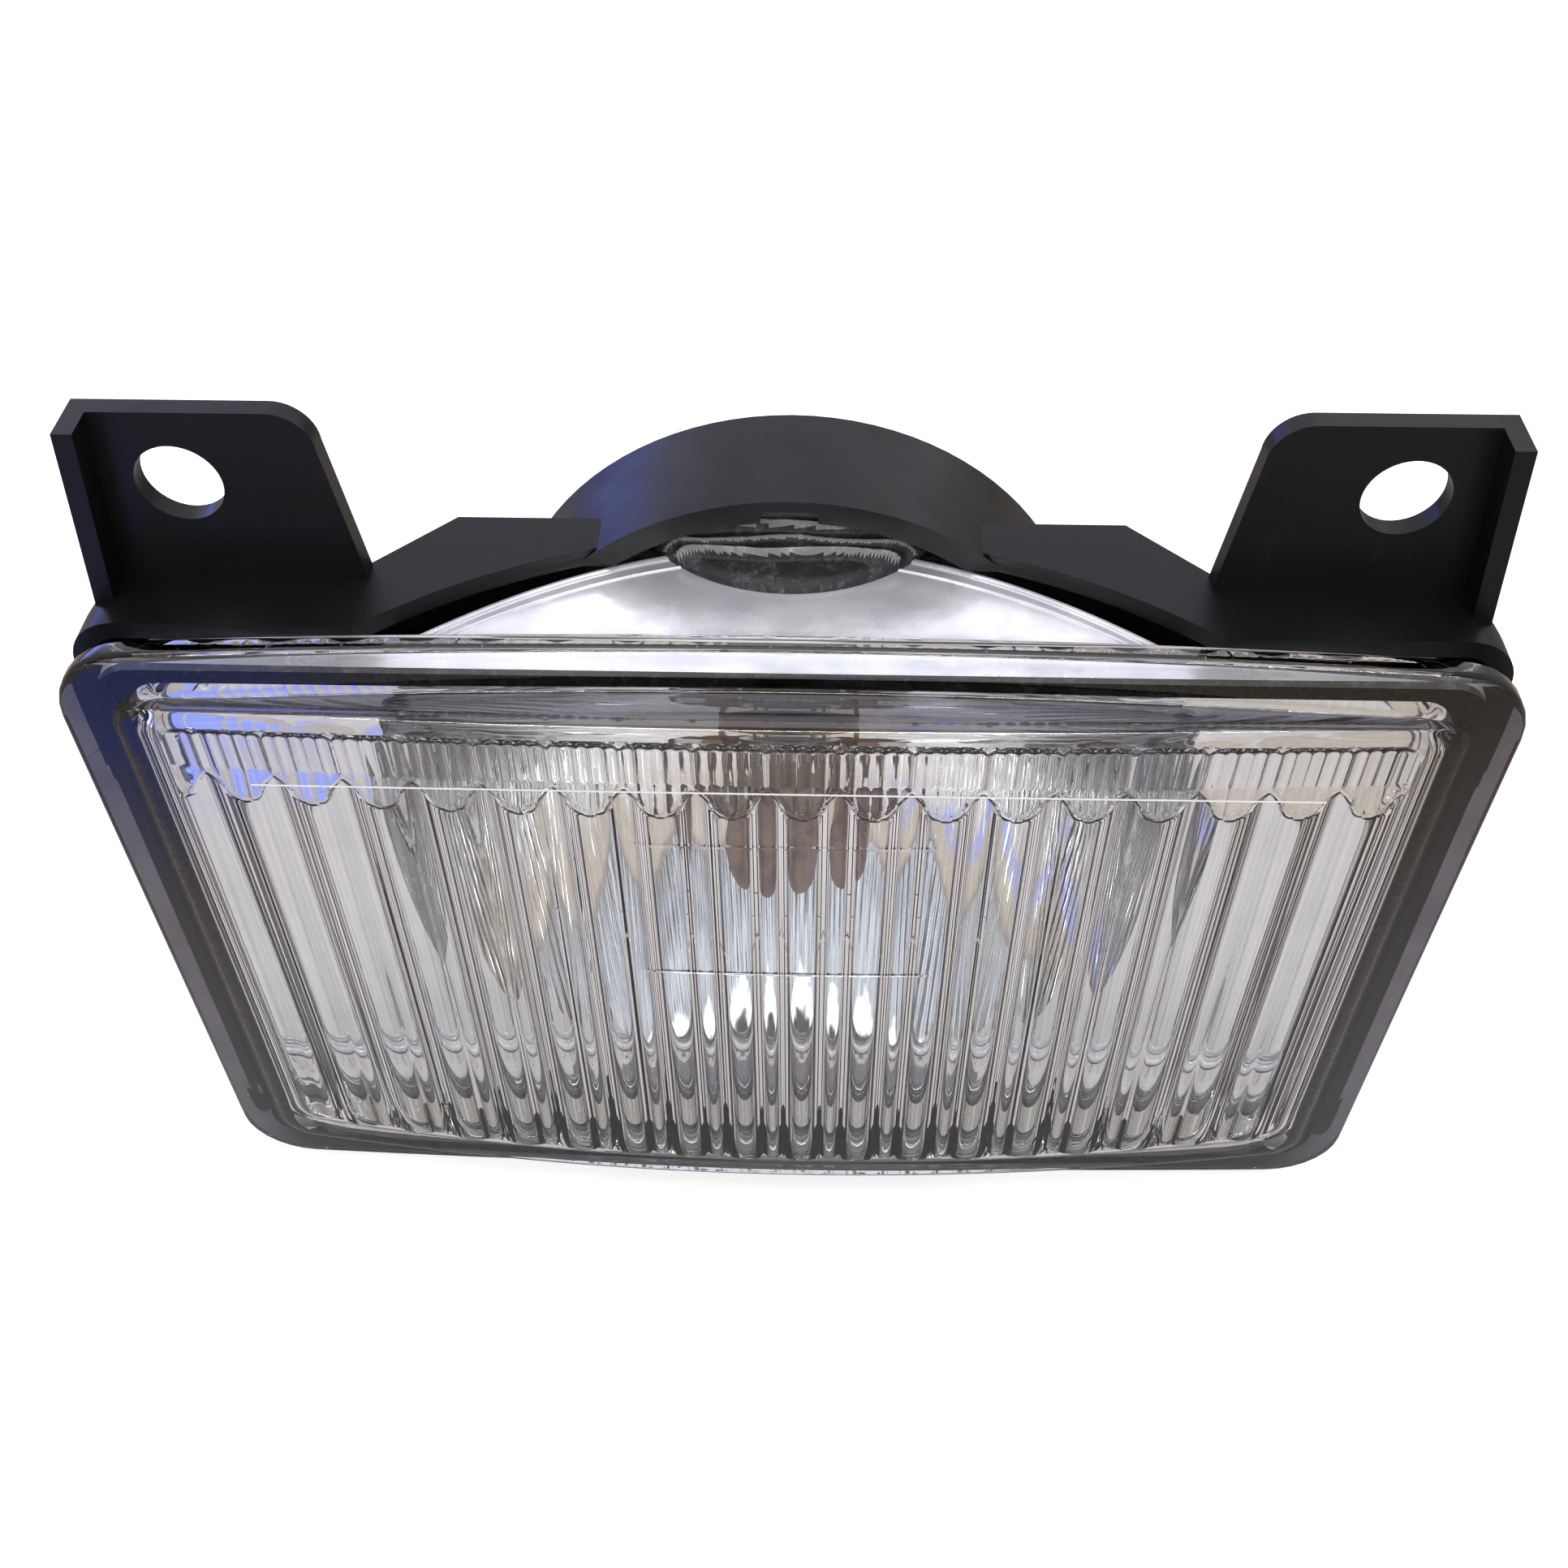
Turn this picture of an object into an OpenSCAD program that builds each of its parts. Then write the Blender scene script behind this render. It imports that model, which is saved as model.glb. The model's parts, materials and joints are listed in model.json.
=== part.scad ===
// Rectangular fog light: a clear lens and metallised reflector that tilt in a black bracket.
// Working frame: +X to the right, +Y to the rear, +Z up, with the lens seat at Y = 0 and the
// lens centre at X = Z = 0. The finished part is moved so its origin is midway between the
// two ear holes.

/* [Lens] */
// Width of the lens flange
lens_w = 160; // [130:1:200]
// Height of the lens flange at its sides
lens_h = 99.4; // [80:0.2:125]
// Rise of the flange's top and bottom edges at the middle
lens_arch = 2.7; // [0.6:0.1:4]
// Corner radius of the flange
lens_corner_r = 9.5; // [7:0.5:14]
// Thickness of the flange
flange_t = 2.9; // [2:0.1:4]
// Step in from the flange's edge to the lens body
flange_step = 5.3; // [4.2:0.1:7]
// How far the middle of the face stands in front of the flange
face_proud = 5.4; // [4.6:0.1:8]
// Bow of the face from its middle to its sides
face_bow = 4.4; // [2:0.1:4.5]
// Thickness of the glass
glass_t = 3.0; // [2:0.1:3.8]
// Thickness of the sealing bead behind the flange
seal_t = 1.0; // [0.6:0.1:1.2]

/* [Reflector] */
// Wall of the reflector
reflector_t = 1.8; // [1.2:0.1:2.4]
// Focal length of the bowl
bowl_focus = 25; // [23:0.5:30]
// Depth of the bowl's apex behind the lens seat
bowl_depth = 27; // [24:0.5:27.5]
// Depth of the flat ledge around the bowl
ledge_depth = 3.2; // [2.4:0.1:4]
// Gap from the lens flange's side edge to the reflector's rim
rim_in = 4; // [3:0.1:6]
// Width of the reflector's rim outside its walls
rim_w = 2.6; // [2:0.1:3.5]
// Outer radius of the bulb neck
neck_r = 17.5; // [15:0.5:19]
// Length of the neck behind its floor
neck_len = 5; // [4.4:0.1:5.4]
// Thickness of the floor that the bulb seats on
floor_t = 1.5; // [1:0.1:2]

/* [Bracket] */
// Wall of the bracket
bracket_t = 2.2; // [1.6:0.1:2.8]
// Gap between the lens seat and the bracket's front edge
front_gap = 3; // [2.8:0.1:4]
// Depth from the lens seat to the rear of the bracket's sides
side_depth = 13.4; // [12.6:0.1:16]
// Depth from the lens seat to the rear of the bracket's middle
middle_depth = 22.5; // [21.8:0.1:26]
// Half width of the deep middle at its rear
middle_half_w = 38.7; // [37:0.1:42]
// Gap between the bracket's inside and the reflector's walls
side_clear = 1.1; // [0.9:0.1:1.4]
// Drop of the bracket's top below the flange's highest point
shelf_drop = 2.6; // [2.4:0.1:4]
// Flare of the bracket's sides at the front
front_flare = 2.6; // [1.5:0.1:3]
// Radius of the arc cut from the top shelf
shelf_arc_r = 72; // [66:1:80]
// Depth of that arc's deepest point behind the lens seat
shelf_arc_depth = 20.5; // [18:0.5:21]

/* [Ears] */
// Width of an ear at its foot
ear_w = 30; // [26:0.5:36]
// Height of an ear above the shelf
ear_h = 21.6; // [19:0.2:30]
// Thickness of an ear
ear_t = 2.4; // [1.8:0.1:3]
// Diameter of an ear's hole
ear_hole_d = 9.4; // [6.5:0.1:11]
// Distance of the hole in from the bracket's side
ear_hole_in = 12; // [10:0.1:14]
// Height of the hole above the shelf
ear_hole_up = 12.8; // [10:0.1:13.5]
// Depth of the web on an ear's outer edge, ahead of the ear
ear_web = 4; // [2:0.1:6]
// Radius of an ear's inner top corner
ear_corner_r = 4.6; // [2:0.1:6]

/* [Collar and cap] */
// Outer radius of the collar
collar_r = 37; // [35.5:0.1:38]
// Wall of the collar
collar_t = 2.8; // [2.4:0.1:3.2]
// Depth of the collar's rear edge behind the lens seat
collar_depth = 33.3; // [33:0.1:36]
// Depth of the collar's arched front edge above the shelf
arch_depth = 16.5; // [15:0.1:18]
// Drop of the optical axis below the shelf
axis_drop = 29.8; // [28:0.1:31]
// Wall of the rear cap
cap_t = 2; // [1.4:0.1:2.4]
// Clearance between pieces that move past each other
slip = 0.3; // [0.25:0.05:0.4]
// Turn of the rear cap from locked to free
cap_turn = 30; // [20:1:40]
// Turn of the bulb's retaining ring from locked to free
ring_turn = 25; // [18:1:32]

/* [Pivot and aiming screw] */
// Depth of the tilt axis behind the lens seat
pivot_depth = 7; // [6.8:0.1:7.2]
// Radius of the pivot pins
pivot_r = 1.6; // [1.2:0.1:1.8]
// Radius of the aiming screw
aim_r = 2.5; // [2:0.1:3]
// Height of the aiming screw above the bracket's bottom
aim_up = 9.8; // [9.4:0.1:14]
// Distance of the aiming screw to the right of the middle
aim_x = 24; // [20:0.5:29]
// Radial running clearance of a pin or screw in its bore
running = 0.05; // [0.02:0.01:0.08]

/* [Bulb and socket] */
// Radius of the quartz capsule
capsule_r = 5.2; // [4.5:0.1:5.6]
// Distance from the bulb's seat to its filament
filament_reach = 18; // [16:0.5:19]
// Radius of the glare shield
shield_r = 8.6; // [8:0.1:9.2]
// Width of the connector socket
socket_w = 20; // [17:0.5:24]
// Depth of the connector socket, front to rear
socket_d = 9; // [8.4:0.1:10]
// Length of the connector socket below the collar
socket_len = 15; // [12:0.5:19]
// Wall of the connector socket
socket_t = 1.4; // [1.2:0.1:1.6]
// Distance between the two terminals
terminal_pitch = 9; // [7:0.5:10]

/* [Hidden] */
$fn = 64;

long_fn = 720;
eps = 0.01;
over = 1;

// Lens
lens_hw = lens_w / 2;
lens_hh = lens_h / 2;
body_hw = lens_hw - flange_step;
body_hh = lens_hh - flange_step;
face_y = -(flange_t + face_proud);
face_r = (body_hw * body_hw + face_bow * face_bow) / (2 * face_bow);
skirt_t = glass_t - 0.4;

// Bracket
bracket_hw = lens_hw - 3.3;
shelf_z = lens_hh + lens_arch - shelf_drop;
bracket_corner_r = 6;
inner_hw = bracket_hw - bracket_t;
inner_z = shelf_z - bracket_t;
flare_end = 9;
flare_flat = 1.5;
middle_slope = 8.9;

// Optical axis, collar
axis_z = shelf_z - axis_drop;
bore_r = collar_r - collar_t;

// Reflector
tub_hw = inner_hw - side_clear;
tub_hh = inner_z - side_clear;
rim_hw = lens_hw - rim_in;
rim_hh = tub_hh + 0.4;
rim_y = seal_t;
rim_t = 1.2;
tub_corner_r = 5;
bowl_reach = 60;
bowl_steps = 14;
neck_bore_r = neck_r - reflector_t;
floor_y = bowl_depth - 2.2;
seat_y = floor_y + floor_t;
neck_end = seat_y + neck_len;

// Ears
ear_out = bracket_hw;
ear_in = bracket_hw - ear_w;
ear_lean = 2.4;
ear_top = shelf_z + ear_h;
ear_y1 = side_depth;
ear_y0 = side_depth - ear_t;
ear_hole_x = bracket_hw - ear_hole_in;
ear_hole_z = shelf_z + ear_hole_up;
ear_mid_y = (ear_y0 + ear_y1) / 2;
web_t = 2.2;

// Pivot
boss_r = pivot_r + 2;
bush_r = pivot_r + 1;
boss_x0 = tub_hw - 8;
boss_x1 = inner_hw - 0.6;
pin_x0 = boss_x0 + 1.4;
pin_x1 = bracket_hw + 0.4;

// Aiming screw
aim_z = -shelf_z + aim_up;
aim_bush_r = aim_r + 2.2;
aim_bush_lip = 1;
aim_nut_r = aim_r + 2.2;
aim_nut_y0 = 8.6;
aim_nut_len = 6;
aim_play = slip + 0.25;
aim_lug_hw = aim_nut_r + 2;
aim_lug_len = aim_nut_y0 + aim_nut_len - ledge_depth - reflector_t / 2;
wall_y1 = middle_depth;
wall_y0 = middle_depth - bracket_t;
aim_head_y = wall_y1 + aim_bush_lip + 0.3;
aim_head_len = 7;
aim_head_r = 4.6;
aim_clip_y = wall_y0 - aim_bush_lip - 0.3;
aim_clip_t = 0.8;
aim_tip_y = 7.5;

// Cap
cap_r = bore_r - slip;
cap_y0 = collar_depth - 5.1;
cap_y1 = collar_depth + 3.6;
lug_w = 8;
lug_count = 3;
lug_reach = 1.5;
lug_y0 = cap_y0 + 0.4;
lug_t = 1;
track_play = 0.9;
seal_r = 0.8;
seal_y = cap_y0 + 3.4;
grip_w = 8;
grip_h = 2.4;
grip_len = 44;
vent_r = 3;
vent_x = 20;

// Bulb
seat_hole_r = 7.2;
flange_r = 10.4;
bulb_flange_t = 1;
filament_y = seat_y - filament_reach;
capsule_tip = filament_y - 7.5;
capsule_root = seat_y - 6;
base_r = 6.4;
ring_y0 = seat_y + bulb_flange_t + 0.3;
ring_t = 1.5;
ring_r = neck_bore_r - slip;
ring_hole_r = 8.4;
ring_lug_r = neck_bore_r - 2.1;
ring_lug_w = 12;
ring_lug_count = 3;
contact_r = 2.6;
contact_y1 = seat_y + 6.2;
shield_y0 = capsule_tip - 1.5;
shield_y1 = filament_y - 2.5;
shield_t = 0.6;
shield_leg_w = 4;
rivet_r = 1.2;
rivet_in = 3.2;
rivet_play = 0.02;
rivet_at = neck_r - rivet_in - 1.2;

// Socket
socket_y0 = wall_y1 + 0.4;
socket_y1 = socket_y0 + socket_d;
socket_top = axis_z - collar_r + 0.9;
socket_gasket_t = 1;
blade_w = 2.8;
blade_t = 0.8;
blade_y = cap_y0 - 1.2;
blade_tip_up = 1.5;
blade_top = axis_z - bore_r + 5.5;
sleeve_w = 4.2;
sleeve_t = 2.2;
sleeve_len = 5;
lead_r = 0.8;
lead_top_z = axis_z - contact_r - 2.2;
lead_y = cap_y1 - cap_t - 2.1;

// ---- helpers ----

// Moves a piece from the working frame to the ear holes' frame.
module place() {
    translate([0, -ear_mid_y, -ear_hole_z]) children();
}

// Outline in X and Z, extruded from y0 to y1.
module along_y(y0, y1) {
    translate([0, y1, 0]) rotate([90, 0, 0]) linear_extrude(height = y1 - y0) children();
}

// Cylinder along Y on the optical axis.
module rod_y(r, y0, y1) {
    translate([0, y0, axis_z]) rotate([-90, 0, 0]) cylinder(r = r, h = y1 - y0);
}

// Profile of radius and depth, turned about the optical axis.
module turned(angle = 360) {
    translate([0, 0, axis_z]) rotate([-90, 0, 0]) rotate_extrude(angle = angle) children();
}

// Turns a piece about the optical axis.
module about_axis(a) {
    translate([0, 0, axis_z]) rotate([0, a, 0]) translate([0, 0, -axis_z]) children();
}

module rounded(hw, hh, r) {
    square([2 * (hw - r), 2 * hh], center = true);
    square([2 * hw, 2 * (hh - r)], center = true);
    for (sx = [-1, 1], sz = [-1, 1]) translate([sx * (hw - r), sz * (hh - r)]) circle(r = r);
}

// Rounded rectangle whose top and bottom edges are long arcs.
module bowed(hw, hh, bow, r) {
    edge_r = (hw * hw + bow * bow) / (2 * bow);
    edge_z = hh + bow - edge_r;
    cx = hw - r;
    cz = edge_z + sqrt((edge_r - r) * (edge_r - r) - cx * cx);
    intersection() {
        square([2 * cx, 2 * (hh + bow + over)], center = true);
        translate([0, edge_z]) circle(r = edge_r, $fn = long_fn * 2);
        translate([0, -edge_z]) circle(r = edge_r, $fn = long_fn * 2);
    }
    square([2 * hw, 2 * cz], center = true);
    for (sx = [-1, 1], sz = [-1, 1]) translate([sx * cx, sz * cz]) circle(r = r);
}

// Solid in front of a paraboloid with its apex at depth y.
module bowl_solid(y) {
    turned() polygon(concat(
        [[0, -over]],
        [[bowl_reach, -over]],
        [for (i = [bowl_steps:-1:0]) let (r = bowl_reach * i / bowl_steps)
            [r, max(y - r * r / (4 * bowl_focus), -over + eps)]]
    ));
}

module rod_x(r, x0, x1) {
    translate([x0, pivot_depth, 0]) rotate([0, 90, 0]) cylinder(r = r, h = x1 - x0);
}

module both_sides() {
    children();
    mirror([1, 0, 0]) children();
}

// Round wire through a list of points.
module wire(points, r) {
    for (i = [0:len(points) - 2]) {
        a = points[i];
        d = points[i + 1] - a;
        run = norm(d);
        translate(a) rotate([0, acos(d[2] / run), atan2(d[1], d[0])]) cylinder(r = r, h = run, $fn = 24);
        translate(a) sphere(r = r * 1.04, $fn = 32);
    }
    translate(points[len(points) - 1]) sphere(r = r * 1.04, $fn = 32);
}

// Slots that one pair of terminals passes through, from z0 to z1.
module blade_slots(z0, z1) {
    for (sx = [-1, 1]) translate([
        sx * terminal_pitch / 2 - blade_w / 2 - running, blade_y - blade_t / 2 - running, z0,
    ]) cube([blade_w + 2 * running, blade_t + 2 * running, z1 - z0]);
}

// ---- bracket body ----

// Plan of the bracket, inset by t.
module bracket_plan(t) {
    hw = bracket_hw - t;
    front_y = front_gap - (t > 0 ? over : 0);
    slope_t = t * 0.42;
    polygon([
        [-hw - front_flare, front_y], [hw + front_flare, front_y],
        [hw + front_flare, front_gap + flare_flat], [hw, flare_end], [hw, side_depth - t],
        [middle_half_w + middle_slope - slope_t, side_depth - t],
        [middle_half_w - slope_t, middle_depth - t],
        [-middle_half_w + slope_t, middle_depth - t],
        [-middle_half_w - middle_slope + slope_t, side_depth - t],
        [-hw, side_depth - t], [-hw, flare_end], [-hw - front_flare, front_gap + flare_flat],
    ]);
}

module bracket_block(t) {
    hz = shelf_z - t;
    intersection() {
        translate([0, 0, -hz]) linear_extrude(height = 2 * hz) bracket_plan(t);
        along_y(0, middle_depth + over)
            rounded(bracket_hw + front_flare - t, hz, bracket_corner_r - t);
    }
}

module ear() {
    translate([0, ear_y1, 0]) rotate([90, 0, 0]) linear_extrude(height = ear_t) difference() {
        union() {
            polygon([
                [ear_in, shelf_z - over], [ear_out, shelf_z - over],
                [ear_out - ear_lean, ear_top],
                [ear_in + ear_lean + ear_corner_r, ear_top],
                [ear_in + ear_lean, ear_top - ear_corner_r],
            ]);
            translate([ear_in + ear_lean + ear_corner_r, ear_top - ear_corner_r])
                circle(r = ear_corner_r);
        }
        translate([ear_hole_x, ear_hole_z]) circle(d = ear_hole_d);
    }
    // web along the outer edge, with its front top corner cut off
    difference() {
        along_y(ear_y0 - ear_web, ear_y1) polygon([
            [ear_out - web_t, shelf_z - over], [ear_out, shelf_z - over],
            [ear_out - ear_lean, ear_top], [ear_out - ear_lean - web_t, ear_top],
        ]);
        translate([ear_out - ear_lean - 2 * web_t, ear_y0 - ear_web, ear_top])
            rotate([-60, 0, 0]) translate([0, -6, -4]) cube([4 * web_t, 6, 12]);
    }
}

// Bayonet track for one cap lug, in the collar's bore.
module lug_track() {
    track_t = lug_t + 2 * slip;
    about_axis(-cap_turn - track_play) turned(cap_turn + lug_w + 2 * track_play)
        translate([bore_r - over, lug_y0 - slip]) square([over + lug_reach + slip, track_t]);
    about_axis(-cap_turn - track_play) turned(lug_w + 2 * track_play)
        translate([bore_r - over, lug_y0 - slip])
            square([over + lug_reach + slip, collar_depth - lug_y0 + over]);
}

module collar() {
    difference() {
        union() {
            rod_y(collar_r, wall_y0, collar_depth);
            intersection() {
                rod_y(collar_r, arch_depth, wall_y1);
                translate([-collar_r, 0, inner_z + eps]) cube([2 * collar_r, collar_depth, collar_r]);
            }
        }
        rod_y(bore_r, arch_depth - over, collar_depth + over);
        for (i = [0:lug_count - 1]) about_axis(360 / lug_count * i + 60) lug_track();
        // notch at the top of the arched front rim
        translate([-3.2, arch_depth - over, axis_z + bore_r - over])
            cube([6.4, over + 1.2, collar_t * 0.5 + over]);
    }
}

// Triangular rib between the rear wall and the collar.
module collar_rib(a) {
    rib_t = 2;
    rib_reach = 6;
    about_axis(a) translate([0, 0, axis_z - rib_t / 2])
        linear_extrude(height = rib_t) polygon([
            [collar_r - 1, wall_y0 + eps], [collar_r + rib_reach, wall_y0 + eps],
            [collar_r + rib_reach, wall_y1 + 1], [collar_r, collar_depth - 3],
            [collar_r - 1, collar_depth - 3],
        ]);
}

module bracket_frame() {
    color("#1b1c1e") place() {
        difference() {
            union() {
                difference() {
                    bracket_block(0);
                    bracket_block(bracket_t);
                    // arc cut from the top shelf
                    translate([0, shelf_arc_depth - shelf_arc_r, inner_z - over])
                        cylinder(r = shelf_arc_r, h = bracket_t + 2 * over, $fn = long_fn);
                    rod_y(bore_r + collar_t / 2, arch_depth, middle_depth + over);
                }
                collar();
                both_sides() ear();
                for (a = [8, 172, 45, 135]) collar_rib(a);
            }
            both_sides() rod_x(pivot_r + running, inner_hw - over, bracket_hw + front_flare + over);
            translate([aim_x, wall_y0 - over, aim_z]) rotate([-90, 0, 0])
                cylinder(r = aim_bush_r + running, h = bracket_t + 2 * over);
            blade_slots(axis_z - collar_r - over, axis_z - bore_r + 2);
        }
    }
}

module pivot_pins() {
    color("#b9bcc0") place() both_sides() rod_x(pivot_r, pin_x0, pin_x1);
}

module aim_bush() {
    color("#d8d4c6") place() translate([aim_x, 0, aim_z]) rotate([-90, 0, 0]) difference() {
        union() {
            translate([0, 0, wall_y0 - aim_bush_lip]) cylinder(r = aim_bush_r, h = bracket_t + aim_bush_lip);
            translate([0, 0, wall_y1]) cylinder(r = aim_bush_r + 1.5, h = aim_bush_lip);
        }
        translate([0, 0, wall_y0 - aim_bush_lip - over])
            cylinder(r = aim_r + running, h = bracket_t + 2 * aim_bush_lip + 2 * over);
    }
}

// Rubber boot: three folds between the collar's bore and the neck.
module boot() {
    boot_y = wall_y0 + 1.2;
    boot_in = neck_r + 1.5;
    boot_t = 1;
    rise = (neck_end - 3.2 - boot_y) / 3;
    step = (bore_r - boot_in - 1.6) / 3;
    fold_share = 0.65;
    inner = [for (i = [0:3]) [bore_r - 1.6 - i * step, boot_y + i * rise]];
    fold = [for (i = [0:2]) [bore_r - 1.6 - (i + fold_share) * step, boot_y + (i + 1) * rise]];
    path = [for (i = [0:2]) each [inner[i], fold[i]]];
    color("#121314") place() turned() polygon(concat(
        [[bore_r - eps, boot_y]], path, [inner[3]],
        [inner[3] + [0, boot_t]],
        [for (i = [5:-1:0]) path[i] + [0, boot_t]],
        [[bore_r - 1.6, boot_y + 2.4]], [[bore_r - eps, boot_y + 2.4]]
    ));
}

module connector_socket() {
    color("#1f2022") place() difference() {
        translate([-socket_w / 2, socket_y0, socket_top - socket_len])
            cube([socket_w, socket_d, socket_len]);
        // room for the collar above
        rod_y(collar_r + socket_gasket_t, wall_y1, socket_y1 + over);
        // mouth for the mating plug
        translate([-socket_w / 2 + socket_t, socket_y0 + socket_t, socket_top - socket_len - over])
            cube([socket_w - 2 * socket_t, socket_d - 2 * socket_t, socket_len - 4.5 + over]);
        blade_slots(socket_top - socket_len, socket_top + over);
    }
}

module socket_gasket() {
    color("#3a3b3d") place() difference() {
        intersection() {
            difference() {
                rod_y(collar_r + socket_gasket_t - 0.02, socket_y0 + 0.2, collar_depth);
                rod_y(collar_r + 0.02, socket_y0, socket_y1 + over);
            }
            translate([-socket_w / 2, socket_y0, socket_top - socket_len])
                cube([socket_w, socket_d, socket_len]);
        }
        blade_slots(axis_z - collar_r - 2 * over, axis_z - bore_r);
    }
}

module socket_terminals() {
    color("#c9a94e") place() for (sx = [-1, 1])
        translate([
            sx * terminal_pitch / 2 - blade_w / 2,
            blade_y - blade_t / 2,
            socket_top - socket_len + blade_tip_up,
        ])
            cube([blade_w, blade_t, blade_top - socket_top + socket_len - blade_tip_up]);
}

module lead_sleeves() {
    sleeve_z = blade_top - 4;
    color("#2a2c30") place() for (sx = [-1, 1]) translate([sx * terminal_pitch / 2, blade_y, sleeve_z])
        difference() {
            translate([-sleeve_w / 2, -sleeve_t / 2, 0]) cube([sleeve_w, sleeve_t, sleeve_len]);
            translate([-blade_w / 2 - 0.02, -blade_t / 2 - 0.02, -over])
                cube([blade_w + 0.04, blade_t + 0.04, over + blade_top - sleeve_z + 0.02]);
        }
}

module bulb_leads() {
    foot_z = blade_top - 4 + sleeve_len + lead_r + eps;
    color("#7a1f1c") place() for (sx = [-1, 1]) wire([
        [sx * terminal_pitch / 2, blade_y, foot_z],
        [sx * terminal_pitch / 2, lead_y, foot_z + 4.5],
        [sx * 3, lead_y, lead_top_z - 5],
        [sx * 1.6, lead_y - 1.6, lead_top_z],
    ], lead_r);
}

// ---- optical unit ----

module lens() {
    color([0.85, 0.9, 0.95, 0.35]) place() difference() {
        union() {
            along_y(-flange_t, 0) bowed(lens_hw, lens_hh, lens_arch, lens_corner_r);
            intersection() {
                along_y(face_y - over, -over / 2)
                    bowed(body_hw, body_hh, lens_arch, lens_corner_r - flange_step + 2.4);
                translate([0, face_y + face_r, -lens_h])
                    cylinder(r = face_r, h = 2 * lens_h, $fn = long_fn * 2);
            }
        }
        intersection() {
            along_y(face_y - over, over)
                bowed(body_hw - skirt_t, body_hh - skirt_t, lens_arch, 4.2);
            translate([0, face_y + face_r, -lens_h])
                cylinder(r = face_r - glass_t, h = 2 * lens_h, $fn = long_fn * 2);
        }
    }
}

module lens_seal() {
    color("#0f0f10") place() difference() {
        along_y(0, seal_t) rounded(rim_hw, rim_hh, tub_corner_r);
        along_y(-over, seal_t + over)
            rounded(rim_hw - rim_w - 1.2, rim_hh - 1.8, tub_corner_r - 1.2);
    }
}

// Lugs in the neck that hold the bulb's retaining ring down.
module ring_lugs() {
    for (i = [0:ring_lug_count - 1]) about_axis(360 / ring_lug_count * i) turned(ring_lug_w)
        translate([ring_lug_r, ring_y0 + ring_t + slip]) square([neck_bore_r - ring_lug_r + 0.5, 1.2]);
}

module reflector() {
    color("#dfe3e8") place() difference() {
        union() {
            difference() {
                union() {
                    along_y(rim_y, rim_y + rim_t) rounded(rim_hw, rim_hh, tub_corner_r);
                    along_y(rim_y, ledge_depth + reflector_t) rounded(tub_hw, tub_hh, tub_corner_r);
                    intersection() {
                        along_y(rim_y, bowl_depth + 3 * reflector_t)
                            rounded(tub_hw, tub_hh, tub_corner_r);
                        bowl_solid(bowl_depth + reflector_t);
                    }
                }
                intersection() {
                    along_y(rim_y - over, bowl_depth + over)
                        rounded(tub_hw - reflector_t, tub_hh - reflector_t, tub_corner_r - reflector_t);
                    union() {
                        along_y(rim_y - 2 * over, ledge_depth)
                            square([2 * tub_hw, 2 * tub_hh], center = true);
                        bowl_solid(bowl_depth);
                    }
                }
            }
            rod_y(neck_r, floor_y, neck_end);
            both_sides() {
                rod_x(boss_r, boss_x0, boss_x1);
                translate([boss_x0, ledge_depth + reflector_t / 2, -boss_r])
                    cube([tub_hw - boss_x0, pivot_depth - ledge_depth - reflector_t / 2, 2 * boss_r]);
            }
            translate([aim_x - aim_lug_hw, ledge_depth + reflector_t / 2, aim_z - aim_lug_hw])
                cube([2 * aim_lug_hw, aim_lug_len, 2 * aim_lug_hw]);
        }
        difference() {
            rod_y(neck_bore_r, seat_y, neck_end + over);
            ring_lugs();
        }
        rod_y(seat_hole_r, floor_y - over, seat_y + over);
        for (s = [-1, 1]) {
            translate([s * rivet_at, 0, 0]) rod_y(rivet_r + rivet_play, floor_y - over, seat_y + over);
        }
        both_sides() rod_x(bush_r + 0.02, boss_x0 + 1, boss_x1 + over);
        // room for the aiming screw's tip, then the nut's bore
        translate([aim_x, 0, aim_z]) rotate([-90, 0, 0]) {
            translate([0, 0, ledge_depth + reflector_t]) cylinder(r = aim_r + 1, h = aim_nut_len);
            translate([0, 0, aim_nut_y0]) cylinder(r = aim_nut_r + 0.02, h = aim_nut_len + over);
        }
    }
}

module pivot_bushes() {
    color("#e6e2d6") place() both_sides() difference() {
        rod_x(bush_r, boss_x0 + 1.02, boss_x1);
        rod_x(pivot_r + running, boss_x0 + 1.2, boss_x1 + over);
    }
}

module aim_nut() {
    color("#e6e2d6") place() translate([aim_x, 0, aim_z]) rotate([-90, 0, 0]) difference() {
        translate([0, 0, aim_nut_y0 + 0.02]) cylinder(r = aim_nut_r, h = aim_nut_len - 0.02);
        translate([0, 0, aim_nut_y0 - over]) cylinder(r = aim_r + aim_play, h = aim_nut_len + 2 * over);
    }
}

module bulb_shield() {
    foot_y = floor_y - shield_t;
    foot_end = rivet_at + 1.4;
    color("#8d9299") place() {
        difference() {
            rod_y(shield_r, shield_y0, shield_y1);
            rod_y(shield_r - shield_t, shield_y0 + shield_t, shield_y1 + over);
        }
        difference() {
            for (s = [-1, 1]) {
                translate([
                    s * (shield_r - shield_t / 2) - shield_t / 2,
                    shield_y1 - over,
                    axis_z - shield_leg_w / 2,
                ])
                    cube([shield_t, floor_y - shield_y1 + over, shield_leg_w]);
                translate([min(s * (shield_r - shield_t), s * foot_end), foot_y, axis_z - shield_leg_w / 2])
                    cube([foot_end - shield_r + shield_t, shield_t, shield_leg_w]);
            }
            for (s = [-1, 1]) translate([s * rivet_at, 0, 0])
                rod_y(rivet_r + 0.02, foot_y - over, floor_y + over);
        }
    }
}

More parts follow.
